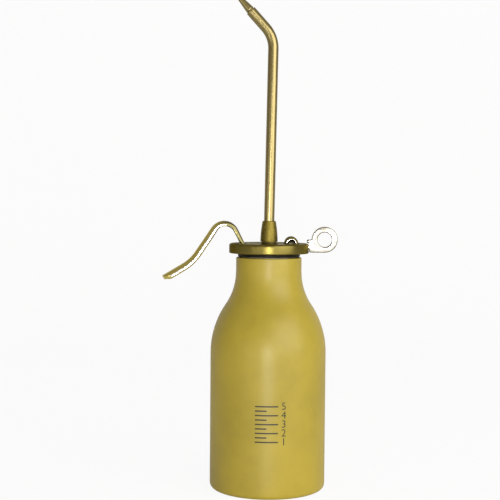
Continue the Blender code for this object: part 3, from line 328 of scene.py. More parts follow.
def srgb(red, green, blue):
    """A display colour from 0 to 255 as the linear colour that shaders take."""
    def linear(value):
        share = value / BYTE_TOP
        if share <= SRGB_KNEE:
            return share / SRGB_SLOPE
        return ((share + SRGB_LIFT) / (1 + SRGB_LIFT)) ** SRGB_POWER
    return (linear(red), linear(green), linear(blue))


def new_object(name, data):
    """A new object for a mesh, a curve, a lamp or a camera, put in the scene."""
    item = bpy.data.objects.new(name, data)
    bpy.context.scene.collection.objects.link(item)
    return item


def to_piece(name, bm, surface):
    """Weld and orient a mesh, shade it and put it in the scene."""
    bmesh.ops.remove_doubles(bm, verts=bm.verts, dist=WELD)
    bmesh.ops.recalc_face_normals(bm, faces=bm.faces)
    mesh = bpy.data.meshes.new(name)
    bm.to_mesh(mesh)
    bm.free()
    mesh.shade_smooth()
    mesh.set_sharp_from_angle(angle=CREASE_ANGLE)
    mesh.materials.append(surface)
    return new_object(name, mesh)


def turned(name, outline, surface, sides=ROUND_SIDES, place=None):
    """Turn an outline of (radius, height) points about Z; one that starts on the axis ends there."""
    bm = bmesh.new()
    points = [bm.verts.new((radius, 0, height)) for radius, height in outline]
    edges = [bm.edges.new(pair) for pair in zip(points, points[1:])]
    if outline[0][0] > 0:
        edges.append(bm.edges.new((points[-1], points[0])))
    bmesh.ops.spin(bm, geom=points + edges, axis=(0, 0, 1), cent=(0, 0, 0), angle=FULL_TURN, steps=sides,
                   use_merge=True)
    if place is not None:
        bm.transform(place)
    return to_piece(name, bm, surface)


def bridge(bm, low, high, closed=True):
    """Join two rows of equal count with a band of faces."""
    count = len(low)
    for index in range(count if closed else count - 1):
        after = (index + 1) % count
        bm.faces.new((low[index], low[after], high[after], high[index]))


def lofted(name, rings, surface, capped=True):
    """Join closed rings of equal count into one skin, with or without end caps."""
    bm = bmesh.new()
    rows = [[bm.verts.new(point) for point in ring] for ring in rings]
    for low, high in zip(rows, rows[1:]):
        bridge(bm, low, high)
    if capped:
        bm.faces.new(rows[0])
        bm.faces.new(rows[-1])
    return to_piece(name, bm, surface)


def extruded(name, outline, axis, low, high, surface=None):
    """Extrude a flat outline along Y or Z from low to high; one without a surface only cuts."""
    bm = bmesh.new()
    corners = [(u, low, v) if axis == "Y" else (u, v, low) for u, v in outline]
    face = bm.faces.new([bm.verts.new(corner) for corner in corners])
    grown = bmesh.ops.extrude_face_region(bm, geom=[face])["geom"]
    moved = [item for item in grown if isinstance(item, bmesh.types.BMVert)]
    rise = high - low
    bmesh.ops.translate(bm, verts=moved, vec=(0, rise, 0) if axis == "Y" else (0, 0, rise))
    return to_piece(name, bm, surface)


def cutting_box(name, low, high):
    """A plain block that cuts another piece."""
    outline = [(low[0], low[1]), (high[0], low[1]), (high[0], high[1]), (low[0], high[1])]
    return extruded(name, outline, "Z", low[2], high[2])


def cutting_rod(name, radius, half_length, centre, sides=SMALL_SIDES):
    """A round bar along Y about a centre (x, z) that cuts a bore."""
    return extruded(name, arc(centre, radius, 0, FULL_TURN, sides)[:-1], "Y", -half_length, half_length)


def arc(centre, radius, start, end, steps=ROUND_STEPS):
    """Points on an arc in the outline's own plane, both ends included."""
    turns = (start + (end - start) / steps * step for step in range(steps + 1))
    return [(centre[0] + radius * math.cos(turn), centre[1] + radius * math.sin(turn)) for turn in turns]


def round_box(left, right, low, high, radius):
    """A closed outline with four round corners, given by the corners' centres."""
    outline = []
    for index, centre in enumerate(((right, low), (right, high), (left, high), (left, low))):
        outline += arc(centre, radius, (index - 1) * QUARTER_TURN, index * QUARTER_TURN)
    return outline


def finished_mesh(item):
    """A new mesh of an object as its modifiers or its text leave it."""
    return bpy.data.meshes.new_from_object(item.evaluated_get(bpy.context.evaluated_depsgraph_get()))


def settle(piece):
    """Turn a piece's modifiers into its own mesh."""
    mesh = finished_mesh(piece)
    old = piece.data
    piece.modifiers.clear()
    piece.data = mesh
    bpy.data.meshes.remove(old)


def cut(piece, *cutters, operation="DIFFERENCE"):
    """Cut a piece with each cutter and remove the cutters."""
    for cutter in cutters:
        modifier = piece.modifiers.new("cut", "BOOLEAN")
        modifier.operation = operation
        modifier.solver = "EXACT"
        modifier.object = cutter
    settle(piece)
    for cutter in cutters:
        bpy.data.objects.remove(cutter, do_unlink=True)
    return piece


def rounded(piece, width, segments):
    """Round a piece's sharp edges and smooth its shading."""
    modifier = piece.modifiers.new("edges", "BEVEL")
    modifier.width = width
    modifier.segments = segments
    modifier.limit_method = "ANGLE"
    modifier.angle_limit = BEVEL_ANGLE
    settle(piece)
    piece.data.shade_smooth()
    piece.data.set_sharp_from_angle(angle=CREASE_ANGLE)
    return piece


def fit(maker, body, slot, *nodes, finish=None):
    """Make pieces in their finish, ride them on their body and let them stand for their nodes."""
    made = maker(finishes_in_use()[finish or slot])
    for piece in made if isinstance(made, list) else [made]:
        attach(piece, body)
        if nodes:
            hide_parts(*nodes)


def shaded(colour, share):
    """A colour made darker or paler by a share."""
    return tuple(min(1.0, value * share) for value in colour)


def under_film(colour, shares):
    """A colour seen through a film that lets a share of red, green and blue through."""
    return tuple(value * share for value, share in zip(colour, shares))


class Surface:
    """One procedural material while its nodes are being wired."""

    def __init__(self, name, sockets):
        self.material = bpy.data.materials.new(name)
        self.material.use_nodes = True
        self.nodes = self.material.node_tree.nodes
        self.shader = self.nodes["Principled BSDF"]
        self.feed(self.shader, sockets)
        self.coordinates = self.nodes.new("ShaderNodeTexCoord").outputs
        self.place = self.coordinates["Object"]

    def feed(self, node, sockets):
        """Wire each named input of a node to a socket, or give it a value or a colour."""
        for key, value in sockets.items():
            socket = node.inputs[key]
            if isinstance(value, bpy.types.NodeSocket):
                self.material.node_tree.links.new(value, socket)
            elif socket.type == "RGBA":
                socket.default_value = (*value, 1.0)
            else:
                socket.default_value = value

    def node(self, kind, sockets):
        """A new node with its inputs fed."""
        made = self.nodes.new(kind)
        self.feed(made, sockets)
        return made

    def stretched(self, scale):
        """The object's own place, scaled along each axis."""
        return self.node("ShaderNodeMapping", {"Vector": self.place, "Scale": scale}).outputs["Vector"]

    def axis(self, name, source=None):
        """One coordinate of the object's own place, or of another vector."""
        return self.node("ShaderNodeSeparateXYZ", {"Vector": source or self.place}).outputs[name]

    def spun(self):
        """A place that is the same all round the axis: the distance out and the height."""
        out = self.node("ShaderNodeVectorMath", {"Vector": self.stretched((1.0, 1.0, 0.0))})
        out.operation = "LENGTH"
        flat = self.node("ShaderNodeCombineXYZ", {"X": out.outputs["Value"], "Z": self.axis("Z")})
        return flat.outputs["Vector"]

    def noise(self, pattern, vector=None, distortion=0.0):
        """The factor of a noise pattern, given as its scale, detail and roughness."""
        scale, detail, roughness = pattern
        made = self.node("ShaderNodeTexNoise", {"Vector": vector or self.place, "Scale": scale,
                                                "Detail": detail, "Roughness": roughness,
                                                "Distortion": distortion})
        return made.outputs["Fac"]

    def ramp(self, source, *stops):
        """A colour ramp with (place, colour) stops."""
        made = self.node("ShaderNodeValToRGB", {"Fac": source})
        elements = made.color_ramp.elements
        while len(elements) < len(stops):
            elements.new(1.0)
        for element, (place, colour) in zip(elements, stops):
            element.position = place
            element.color = (*colour, 1.0)
        return made.outputs["Color"]

    def spread(self, source, low, high, start=0.0, end=1.0):
        """A value moved from the range of start and end to that of low and high."""
        made = self.node("ShaderNodeMapRange", {"Value": source, "From Min": start, "From Max": end,
                                                "To Min": low, "To Max": high})
        return made.outputs["Result"]

    def mixed(self, share, first, second):
        """Two colours mixed by a share; each may be a colour or a socket."""
        made = self.nodes.new("ShaderNodeMix")
        made.data_type = "RGBA"
        low, high = [index for index, item in enumerate(made.inputs) if item.type == "RGBA"]
        self.feed(made, {"Factor": share, low: first, high: second})
        return [item for item in made.outputs if item.type == "RGBA"][0]

    def sum(self, first, second, operation="ADD"):
        """Two values combined by one sum."""
        made = self.node("ShaderNodeMath", {0: first, 1: second})
        made.operation = operation
        return made.outputs["Value"]

    def bump(self, height, strength, distance):
        """Roughen the surface by a height value, over what roughens it already."""
        earlier = self.shader.inputs["Normal"].links
        made = self.node("ShaderNodeBump", {"Height": height, "Strength": strength, "Distance": distance})
        if earlier:
            self.feed(made, {"Normal": earlier[0].from_socket})
        self.feed(self.shader, {"Normal": made.outputs["Normal"]})

    def finish(self, colour, gloss):
        """Give the shader its colour and its roughness."""
        self.feed(self.shader, {"Base Color": colour, "Roughness": gloss})


def bottle_surface(colours):
    """Semi-matte blown plastic: cloudy olive, a fine orange-peel grain and light rubbed patches."""
    made = Surface("blown_bottle", {"Roughness": 0.42, "Specular IOR Level": 0.44, "Subsurface Weight": 0.10,
                                    "Subsurface Radius": BOTTLE_SCATTER, "Subsurface Scale": 0.5})
    base = tuple(colours.bottle)
    pale = shaded(base, 1.10)
    cloud = made.noise(BOTTLE_CLOUD)
    tone = made.ramp(cloud, (0.32, shaded(base, 0.86)), (0.52, base), (0.72, pale))
    scuff = made.noise(BOTTLE_SCUFF, made.stretched((1.0, 1.0, 0.25)))
    rubbed = made.spread(scuff, 0.0, 0.35, 0.60, 0.72)
    gloss = made.sum(made.spread(cloud, 0.36, 0.44), made.sum(rubbed, 0.2, "MULTIPLY"))
    made.finish(made.mixed(rubbed, tone, pale), gloss)
    made.bump(made.noise(BOTTLE_GRAIN), 0.10, GRAIN_DEPTH)
    made.bump(made.noise(BOTTLE_WAVES), 0.12, WAVE_DEPTH)
    return made.material


def cap_surface(name, base):
    """Olive passivated pressed steel, spun rings, darker blotches and bright rubbed edges."""
    made = Surface(name, {"Roughness": 0.34, "Metallic": 1.0, "Specular Tint": (0.55, 0.52, 0.42)})
    blotch = made.noise(CAP_BLOTCH)
    tone = made.ramp(blotch, (0.30, shaded(base, 0.55)), (0.55, base), (0.80, shaded(base, 1.2)))
    rings = made.noise(CAP_RINGS, made.spun())
    pointed = made.nodes.new("ShaderNodeNewGeometry").outputs["Pointiness"]
    edges = made.spread(pointed, 0.0, 1.0, 0.52, 0.62)
    gloss = made.spread(made.sum(blotch, rings, "MULTIPLY"), 0.24, 0.46, 0.1, 0.45)
    made.finish(made.mixed(edges, tone, shaded(base, 1.35)), gloss)
    made.bump(rings, 0.12, GRAIN_DEPTH)
    made.bump(made.noise(CAP_GRAIN), 0.10, PIT_DEPTH)
    return made.material


def cast_surface(colours):
    """Cast hub: pitted, speckled dull brass with rubbed high spots."""
    made = Surface("cast_hub", {"Roughness": 0.45, "Metallic": 1.0})
    base = tuple(colours.hub)
    grit = made.noise(HUB_GRIT)
    cloud = made.noise(HUB_CLOUD)
    speckle = made.ramp(grit, (0.36, shaded(base, 0.45)), (0.50, base), (0.68, shaded(base, 1.7)))
    toned = made.ramp(cloud, (0.3, shaded(base, 0.8)), (0.7, base))
    speckled = made.mixed(made.spread(cloud, 0.35, 0.75), toned, speckle)
    made.finish(speckled, made.spread(grit, 0.34, 0.60, 0.3, 0.7))
    made.bump(grit, 0.30, PIT_DEPTH)
    return made.material


def tube_surface(colours):
    """Drawn brass tube: long faint draw lines, thin tarnish and small dark spots."""
    made = Surface("drawn_spout", {"Roughness": 0.26, "Metallic": 1.0})
    base = tuple(colours.spout)
    deep = shaded(base, 0.62)
    lines = made.noise(SPOUT_LINES, made.stretched((1.0, 1.0, 0.02)))
    stain = made.noise(SPOUT_STAIN, made.stretched((1.0, 1.0, 0.35)))
    tone = made.ramp(stain, (0.28, deep), (0.46, base), (0.75, shaded(base, 1.22)))
    spots = made.spread(made.noise(SPOUT_SPOTS), 0.0, 0.5, 0.66, 0.74)
    gloss = made.spread(made.sum(lines, stain, "MULTIPLY"), 0.18, 0.38, 0.12, 0.42)
    made.finish(made.mixed(spots, tone, deep), gloss)
    made.bump(lines, 0.08, GRAIN_DEPTH)
    return made.material


def plated_surface(name, colours, painted_shade_shares, painted_shade_turned, root_shade=False):
    """Bright plating: creamy, nearly mirror-like, with fine rub lines, painted shade where it turns off Y
    and, when asked, painted shade on the lever's root.
    """
    made = Surface(name, {"Roughness": 0.20, "Metallic": 1.0})
    base = tuple(colours.plating)
    film = made.noise(PLATING_FILM)
    lines = made.noise(PLATING_LINES, made.stretched((0.06, 1.0, 1.0)))
    tone = made.ramp(film, (0.30, shaded(base, 0.90)), (0.60, base))
    toned = made.mixed(made.spread(lines, 0.0, 0.4, 0.62, 0.72), tone, shaded(base, 1.1))
    # Painted shade: faces that turn off Y (the edges of the ring and pin, the top and sides of the lever)
    # are darkened by the given shares
    sideways = made.sum(made.axis("Y", made.coordinates["Normal"]), 0.0, "ABSOLUTE")
    facing_jittered = made.sum(sideways, made.spread(film, -0.02, 0.02))
    tarnish = made.spread(facing_jittered, 1.0, 0.0, *painted_shade_turned)
    toned = made.mixed(tarnish, toned, under_film(base, painted_shade_shares))
    # Painted shade on the lever's root, darkest toward the cap, where the lever goes down into its slot
    if root_shade:
        root = made.spread(made.axis("X"), 0.0, 1.0, *ROOT_PAINTED_SHADE_REACH)
        toned = made.mixed(root, toned, under_film(base, ROOT_PAINTED_SHADE_SHARES))
    made.finish(toned, made.spread(made.sum(film, lines, "MULTIPLY"), 0.14, 0.24, 0.12, 0.42))
    made.bump(lines, 0.03, GRAIN_DEPTH)
    made.bump(made.noise(PLATING_WAVES), 0.02, PLATING_DEPTH)
    return made.material


def rubber_surface():
    """Black rubber with a dusty bloom."""
    made = Surface("black_rubber", {"Roughness": 0.45, "Specular IOR Level": 0.12})
    bloom = made.noise(RUBBER_BLOOM)
    black = made.ramp(bloom, (0.35, (0.004, 0.003, 0.001)), (0.75, (0.014, 0.010, 0.004)))
    made.finish(black, made.spread(bloom, 0.32, 0.58))
    made.bump(made.noise(RUBBER_GRAIN), 0.12, GRAIN_DEPTH)
    return made.material


def plug_surface():
    """Natural moulded plastic of the plug, barrel and tube, with faint flow marks."""
    made = Surface("moulded_plug", {"Roughness": 0.40, "Subsurface Weight": 0.12,
                                    "Subsurface Radius": PLUG_SCATTER})
    flow = made.noise(PLUG_FLOW, None, 1.2)
    tone = made.ramp(flow, (0.30, srgb(196, 188, 158)), (0.55, srgb(214, 208, 184)),
                     (0.80, srgb(226, 222, 204)))
    made.finish(tone, made.spread(flow, 0.32, 0.48))
    made.bump(made.noise(PLUG_GRAIN), 0.08, GRAIN_DEPTH)
    return made.material


def fibre_surface():
    """Oil-soaked brown fibre of the washer and gasket."""
    made = Surface("dark_fibre", {"Roughness": 0.75})
    weave = made.noise(FIBRE_WEAVE, made.stretched((1.0, 0.4, 1.0)))
    tone = made.ramp(weave, (0.30, srgb(84, 72, 38)), (0.70, srgb(118, 104, 60)))
    made.finish(tone, made.spread(weave, 0.62, 0.85))
    made.bump(weave, 0.25, GRAIN_DEPTH)
    return made.material


def ink_surface():
    """Dark screen-printed ink with slightly thin patches."""
    made = Surface("printed_ink", {"Roughness": 0.5})
    patch = made.noise(INK_PATCH)
    tone = made.ramp(patch, (0.25, srgb(66, 56, 22)), (0.45, srgb(38, 33, 20)), (0.8, srgb(26, 23, 16)))
    made.finish(tone, made.spread(patch, 0.40, 0.62))
    made.bump(patch, 0.10, INK_DEPTH)
    return made.material


def slot_cutter(name, slot, low, high):
    """A round-cornered block for a slot given as (from, to, half width)."""
    start, end, half = slot
    side = half - SLOT_ROUND
    outline = round_box(start + SLOT_ROUND, end - SLOT_ROUND, -side, side, SLOT_ROUND)
    return extruded(name, outline, "Z", low, high)


def shoulder_curve(low_radius, high_radius):
    """Two tangent arcs from the bottle's wall in to its neck."""
    inset = low_radius - high_radius
    rise = SHOULDER_END - SHOULDER_START
    tilt = 2 * math.atan2(inset, rise)
    total = rise / math.sin(tilt)
    convex = total * SHOULDER_CONVEX_SHARE
    hollow = total - convex
    lower = arc((low_radius - convex, SHOULDER_START), convex, 0, tilt, SHOULDER_STEPS)
    upper = arc((high_radius + hollow, SHOULDER_END), hollow, HALF_TURN + tilt, HALF_TURN, SHOULDER_STEPS)
    return lower + upper[1:]


def bottle_skin():
    """The bottle's outer outline from the edge of the flat foot up to the lip."""
    corner = arc((BOTTLE_RADIUS - FOOT_CORNER, FOOT_CORNER), FOOT_CORNER, -QUARTER_TURN, 0, WALL_STEPS)
    wall = [(BOTTLE_RADIUS, FOOT_CORNER + (SHOULDER_START - FOOT_CORNER) * step / WALL_STEPS)
            for step in range(1, WALL_STEPS)]
    return corner + wall + shoulder_curve(BOTTLE_RADIUS, NECK_RADIUS)


def make_bottle_shell(surface):
    """The blown bottle with its rounded lip and the thread inside its neck."""
    lip = arc((NECK_RADIUS - LIP_ROUND, LIP - LIP_ROUND), LIP_ROUND, 0, QUARTER_TURN)
    lip += arc((MOUTH_RADIUS + LIP_ROUND, LIP - LIP_ROUND), LIP_ROUND, QUARTER_TURN, HALF_TURN)
    threads = []
    for ring in range(THREAD_TURNS):
        for drop_share, crest_share in THREAD_FORM_SHARES:
            height = LIP - THREAD_TOP_DROP - (ring + drop_share) * THREAD_PITCH
            threads.append((MOUTH_RADIUS + THREAD_DEPTH * (1 - crest_share), height))
    inside = shoulder_curve(BOTTLE_RADIUS - BOTTLE_WALL, NECK_RADIUS - BOTTLE_WALL)[::-1]
    corner = arc((BOTTLE_RADIUS - FOOT_CORNER, FOOT_CORNER), FOOT_CORNER - BOTTLE_WALL, 0, -QUARTER_TURN,
                 EDGE_STEPS)
    outline = [(0, 0)] + bottle_skin() + lip + threads + inside + corner + [(0, BOTTLE_WALL)]
    return turned("bottle_shell", outline, surface)


def make_bottle_seam(surface):
    """The fine line that the two halves of the mould leave down both sides."""
    skin = bottle_skin()[SEAM_SKIPS:]
    band = [(radius + SEAM_RISE, height) for radius, height in skin]
    band += [(radius - SEAM_SINK, height) for radius, height in skin[::-1]]
    return [extruded(f"bottle_seam_{index + 1}", [(side * radius, height) for radius, height in band], "Y",
                     -SEAM_HALF_WIDTH, SEAM_HALF_WIDTH, surface)
            for index, side in enumerate((1, -1))]


def wrapped(bm):
    """Lay a flat mesh, drawn as (along, height, thickness), round the bottle's front."""
    for vert in bm.verts:
        along, height, rise = vert.co
        turn = along / BOTTLE_RADIUS
        radius = BOTTLE_RADIUS + rise
        vert.co = (radius * math.sin(turn), -radius * math.cos(turn), height)


def stroke(bm, left, right, low, high):
    """One printed bar with enough columns to follow the bottle's curve."""
    rows = []
    for rise in (-PRINT_RISE, PRINT_RISE):
        for height in (low, high):
            rows.append([bm.verts.new((left + (right - left) * column / SCALE_COLUMNS, height, rise))
                         for column in range(SCALE_COLUMNS + 1)])
    sunk_low, sunk_high, low_row, high_row = rows
    loops = (low_row, high_row, sunk_high, sunk_low)
    for first, second in zip(loops, loops[1:] + loops[:1]):
        bridge(bm, first, second, False)
    for column in (0, SCALE_COLUMNS):
        bm.faces.new([row[column] for row in loops])


def number_mesh(text, place):
    """A plain number as a thin solid, drawn flat with its middle at a place."""
    curve = bpy.data.curves.new("number", "FONT")
    curve.body = text
    curve.size = SCALE_NUMBER_HEIGHT / NUMBER_HEIGHT_SHARE
    curve.align_x = "CENTER"
    curve.align_y = "CENTER"
    curve.extrude = PRINT_RISE
    curve.offset = -NUMBER_THINNING
    curve.resolution_u = ROUND_STEPS
    holder = new_object("number", curve)
    mesh = finished_mesh(holder)
    mesh.transform(Matrix.Translation(place))
    bpy.data.objects.remove(holder, do_unlink=True)
    return mesh


def make_bottle_scale(surface):
    """A plain scale: long and short marks with the numbers 1 to 5."""
    bm = bmesh.new()
    left = -SCALE_LONG / 2 - SCALE_NUMBER_GAP / 2
    for mark in range(SCALE_MARKS * 2 - 1):
        height = SCALE_LOW + mark * SCALE_STEP / 2
        length = SCALE_SHORT if mark % 2 else SCALE_LONG
        stroke(bm, left, left + length, height - SCALE_STROKE / 2, height + SCALE_STROKE / 2)
    for number in range(SCALE_MARKS):
        height = SCALE_LOW + number * SCALE_STEP
        place = (left + SCALE_LONG + SCALE_NUMBER_GAP + SCALE_NUMBER_HEIGHT / 4, height, 0)
        mesh = number_mesh(str(number + 1), place)
        bm.from_mesh(mesh)
        bpy.data.meshes.remove(mesh)
    wrapped(bm)
    return to_piece("bottle_scale", bm, surface)


def make_seal_band(surface):
    """The rubber ring between lip and cap, pressed nearly square."""
    low, high = SEAL_LOW.z + SEAL_ROUND, SEAL_HIGH.z - SEAL_ROUND
    outer = SEAL_RADIUS - SEAL_ROUND
    inner = SEAL_RADIUS - (SEAL_HIGH.z - SEAL_LOW.z) + SEAL_ROUND
    return turned("seal_band", round_box(inner, outer, low, high, SEAL_ROUND), surface)


def make_cover_shell(surface):
    """The pressed cover: rounded rim, crimped foot, stem hole, two slots and the ring's notch."""
    low = COVER_LOW.z
    underside = CAP_TOP - COVER_SHEET
    inner = COVER_RADIUS - COVER_SHEET
    edge = COVER_EDGE_ROUND
    foot = COVER_FOOT_ROUND
    crimp = COVER_RADIUS - CRIMP_WIDTH
    outline = [(SPIGOT_HOLE_RADIUS, CAP_TOP)]
    outline += arc((COVER_RADIUS - edge, CAP_TOP - edge), edge, QUARTER_TURN, 0, RIM_STEPS)
    outline += arc((COVER_RADIUS - foot, low + foot), foot, 0, -QUARTER_TURN, EDGE_STEPS)
    outline += [(crimp, low), (crimp, low + CRIMP_SHEET), (inner, low + CRIMP_SHEET), (inner, underside),
                (SPIGOT_HOLE_RADIUS, underside)]
    shell = turned("cover_shell", outline, surface)
    bottom = underside - OVERRUN
    top = CAP_TOP + OVERRUN
    half_plate = (RING_HIGH.y - RING_LOW.y) / 2 + GAP
    notch = cutting_box("rim_slot", (inner - COVER_SHEET, -half_plate, low + CRIMP_SHEET + GAP + GAP),
                        (COVER_RADIUS + OVERRUN, half_plate, underside))
    cut(shell, slot_cutter("lever_slot", LEVER_SLOT, bottom, top),
        slot_cutter("pivot_slot", PIVOT_SLOT, bottom, top), notch)
    return rounded(shell, SLOT_EDGE, FINE_BEVEL)


def make_bracket_body(surface):
    """Two rounded ears, the web behind them and a foot on each side, with bent and rubbed edges."""
    outer = EAR_INNER + EAR_SHEET
    centre = (PIVOT.x, PIVOT.z)
    back = centre[0] + EAR_BACK_OUT
    low = BRACKET_LOW.z
    web_top = CAP_TOP - COVER_SHEET - GAP
    front = centre[0] - EAR_RADIUS
    outline = [(front, low), (back, low), (back, web_top), (centre[0] + EAR_RADIUS, web_top)]
    outline += arc(centre, EAR_RADIUS, 0, HALF_TURN, BEND_STEPS)
    wide = BRACKET_HIGH.y
    body = extruded("bracket_body", outline, "Y", -wide, wide, surface)
    ahead = front - OVERRUN
    top = BRACKET_HIGH.z + OVERRUN
    foot_top = low + FOOT_SHEET
    beside = [(ahead, low - OVERRUN), (back - FOOT_LENGTH, low - OVERRUN), (back - FOOT_LENGTH, foot_top),
              (back + OVERRUN, foot_top), (back + OVERRUN, top), (ahead, top)]
    cut(body, cutting_box("ear_space", (ahead, -EAR_INNER, low - OVERRUN),
                          (back - EAR_SHEET, EAR_INNER, top)))
    cut(body, extruded("beside_left", beside, "Y", outer, wide + OVERRUN),
        extruded("beside_right", beside, "Y", -wide - OVERRUN, -outer))
    cut(body, cutting_rod("ear_bore", EYE_BORE, outer + OVERRUN, centre))
    return rounded(body, EAR_EDGE, SOFT_BEVEL)


def make_pin_body(surface):
    """The tubular rivet pin, its dished ends flared over the ears with a rounded lip."""
    radius = EYE_BORE - GAP
    flare = radius + PIN_FLARE
    half_end = PIN_END / 2
    lip = arc((flare - half_end, PIN_NEAR + half_end), half_end, -QUARTER_TURN, QUARTER_TURN, RIM_STEPS)
    end = PIN_NEAR + PIN_END
    mouth = [(PIN_MOUTH, end), (PIN_BORE, end - PIN_DISH), (0, end - PIN_DISH - half_end)]
    half = ([(radius, PIN_NEAR)] + lip + mouth)[::-1]
    mirrored = [(r, -h) for r, h in half[::-1]]
    place = Matrix.Translation((PIVOT.x, 0, PIVOT.z)) @ Matrix.Rotation(QUARTER_TURN, 4, "X")
    return turned("pin_body", half + mirrored, surface, SMALL_SIDES, place)


def make_ring_plate(surface):
    """The flat hanging ring with its tab, skirt and tongue, stamped and tumbled smooth."""
    centre = RING_CENTRE
    low, high = RING_LOW, RING_HIGH
    outside = COVER_RADIUS + GAP
    tongue_high = CAP_TOP - COVER_SHEET - GAP
    tongue_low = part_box("cap_base")[1].z + GAP
    sweep = arc(centre, RING_RADIUS, -QUARTER_TURN, HALF_TURN, RING_SIDES)
    outline = [(low.x, tongue_low), (outside, tongue_low), (outside, low.z)] + sweep
    outline += [(RING_TAB_FROM, centre[1]), (RING_TAB_FROM, CAP_TOP + GAP), (outside, CAP_TOP + GAP),
                (outside, tongue_high), (low.x, tongue_high)]
    plate = extruded("ring_plate", outline, "Y", low.y, high.y, surface)
    cut(plate, cutting_rod("ring_hole", RING_HOLE, high.y + OVERRUN, centre, RING_SIDES))
    return rounded(plate, RING_EDGE, SOFT_BEVEL)


def make_hub_body(surface):
    """The cast cone that carries the spout: swollen sides, a low collar and a chamfered mouth."""
    low, high = HUB_LOW.z, HUB_HIGH.z
    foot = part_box("hub_washer")[1].z + GAP
    spigot = SPIGOT_HOLE_RADIUS - GAP
    socket = TUBE_RADIUS + GAP
    outline = [(STEM_CLEARANCE_RADIUS, low), (spigot, low), (spigot, foot), (HUB_RADIUS, foot)]
    for step in range(WALL_STEPS + 1):
        share = step / WALL_STEPS
        swell = HUB_SWELL * math.sin(HALF_TURN * share)
        outline.append((HUB_RADIUS + (HUB_TOP_RADIUS - HUB_RADIUS) * share + swell,
                        foot + HUB_COLLAR + (high - HUB_CHAMFER - foot - HUB_COLLAR) * share))
    outline += arc((HUB_TOP_RADIUS - HUB_CHAMFER, high - HUB_CHAMFER), HUB_CHAMFER, 0, QUARTER_TURN)[1:]
    outline += [(socket + HUB_CHAMFER / 2, high), (socket, high - HUB_CHAMFER / 2),
                (socket, high - HUB_SOCKET_DEPTH), (STEM_CLEARANCE_RADIUS, high - HUB_SOCKET_DEPTH)]
    return turned("hub_body", outline, surface, MIDDLE_SIDES)


def spout_stations():
    """Places along the spout's centre line with the turn at each; it leans a little above the hub."""
    foot = TUBE_LOW.z
    top = HUB_HIGH.z
    rise = SPOUT_BEND_START - top
    lean = rise * math.tan(SPOUT_LEAN)
    stations = [((0, foot), 0), ((0, (foot + top) / 2), 0), ((0, top), -SPOUT_LEAN / 2)]
    stations += [((lean * step / SPOUT_STEPS, top + rise * step / SPOUT_STEPS), -SPOUT_LEAN)
                 for step in range(1, SPOUT_STEPS)]
    centre = (lean - SPOUT_BEND_RADIUS * math.cos(SPOUT_LEAN),
              SPOUT_BEND_START + SPOUT_BEND_RADIUS * math.sin(SPOUT_LEAN))
    bend = arc(centre, SPOUT_BEND_RADIUS, -SPOUT_LEAN, SPOUT_BEND_ANGLE, BEND_STEPS)
    stations += [(place, (SPOUT_BEND_ANGLE + SPOUT_LEAN) * step / BEND_STEPS - SPOUT_LEAN)
                 for step, place in enumerate(bend)]
    (x, z), turn = stations[-1]
    for step in range(1, EDGE_STEPS + 1):
        length = SPOUT_END_LENGTH * step / EDGE_STEPS
        stations.append(((x - length * math.sin(turn), z + length * math.cos(turn)), turn))
    return stations


def spout_place(station):
    """Where a shape drawn about Z stands at one station of the spout."""
    (x, z), turn = station
    return Matrix.Translation((x, 0, z)) @ Matrix.Rotation(-turn, 4, "Y")


def tube_ring(station, radius, along=0.0):
    """A ring of points square to the spout at one station."""
    place = spout_place(station)
    return [place @ Vector((x, y, along)) for x, y in arc((0, 0), radius, 0, FULL_TURN, TUBE_SIDES)[:-1]]


def make_tube_body(surface):
    """The drawn tube, bent near its end, with a rounded rim."""
    stations = spout_stations()
    outer = [tube_ring(station, TUBE_RADIUS) for station in stations[:-1]]
    edge = arc((TUBE_RADIUS - SPOUT_EDGE, -SPOUT_EDGE), SPOUT_EDGE, 0, QUARTER_TURN, LIP_STEPS)
    rim = [tube_ring(stations[-1], radius, along) for radius, along in edge]
    inner = [tube_ring(station, SPOUT_BORE) for station in stations[::-1]]
    return lofted("tube_body", outer + rim + inner + [outer[0]], surface, False)


def make_nozzle_body(surface):
    """The tapered nozzle with a rounded shoulder and a rounded tip."""
    start = GAP + NOZZLE_ROUND
    end = NOZZLE_LENGTH - NOZZLE_ROUND
    spigot = SPOUT_BORE - GAP
    outline = [(NOZZLE_BORE, -NOZZLE_SPIGOT), (spigot, -NOZZLE_SPIGOT), (spigot, GAP)]
    outline += arc((NOZZLE_RADIUS - NOZZLE_ROUND, start), NOZZLE_ROUND, -QUARTER_TURN, 0, LIP_STEPS)[:-1]
    outline += [(NOZZLE_RADIUS + (NOZZLE_TIP_RADIUS - NOZZLE_RADIUS) * step / RIM_STEPS,
                 start + (end - start) * step / RIM_STEPS) for step in range(RIM_STEPS + 1)]
    outline += arc((NOZZLE_TIP_RADIUS - NOZZLE_ROUND, end), NOZZLE_ROUND, 0, QUARTER_TURN)[1:]
    outline.append((NOZZLE_BORE, NOZZLE_LENGTH))
    return turned("nozzle_body", outline, surface, SMALL_SIDES, spout_place(spout_stations()[-1]))


def bent_corner(before, corner, after, radius):
    """Points on the arc that rounds one corner of the lever."""
    into = (corner - before).normalized()
    out = (after - corner).normalized()
    turn = into.angle(out)
    start = corner - into * radius * math.tan(turn / 2)
    side = 1 if into.cross(out) > 0 else -1
    centre = start + Vector((-into.y, into.x)) * side * radius
    arm = start - centre
    return [centre + Matrix.Rotation(side * turn * step / LEVER_BEND_STEPS, 2) @ arm
            for step in range(LEVER_BEND_STEPS + 1)]


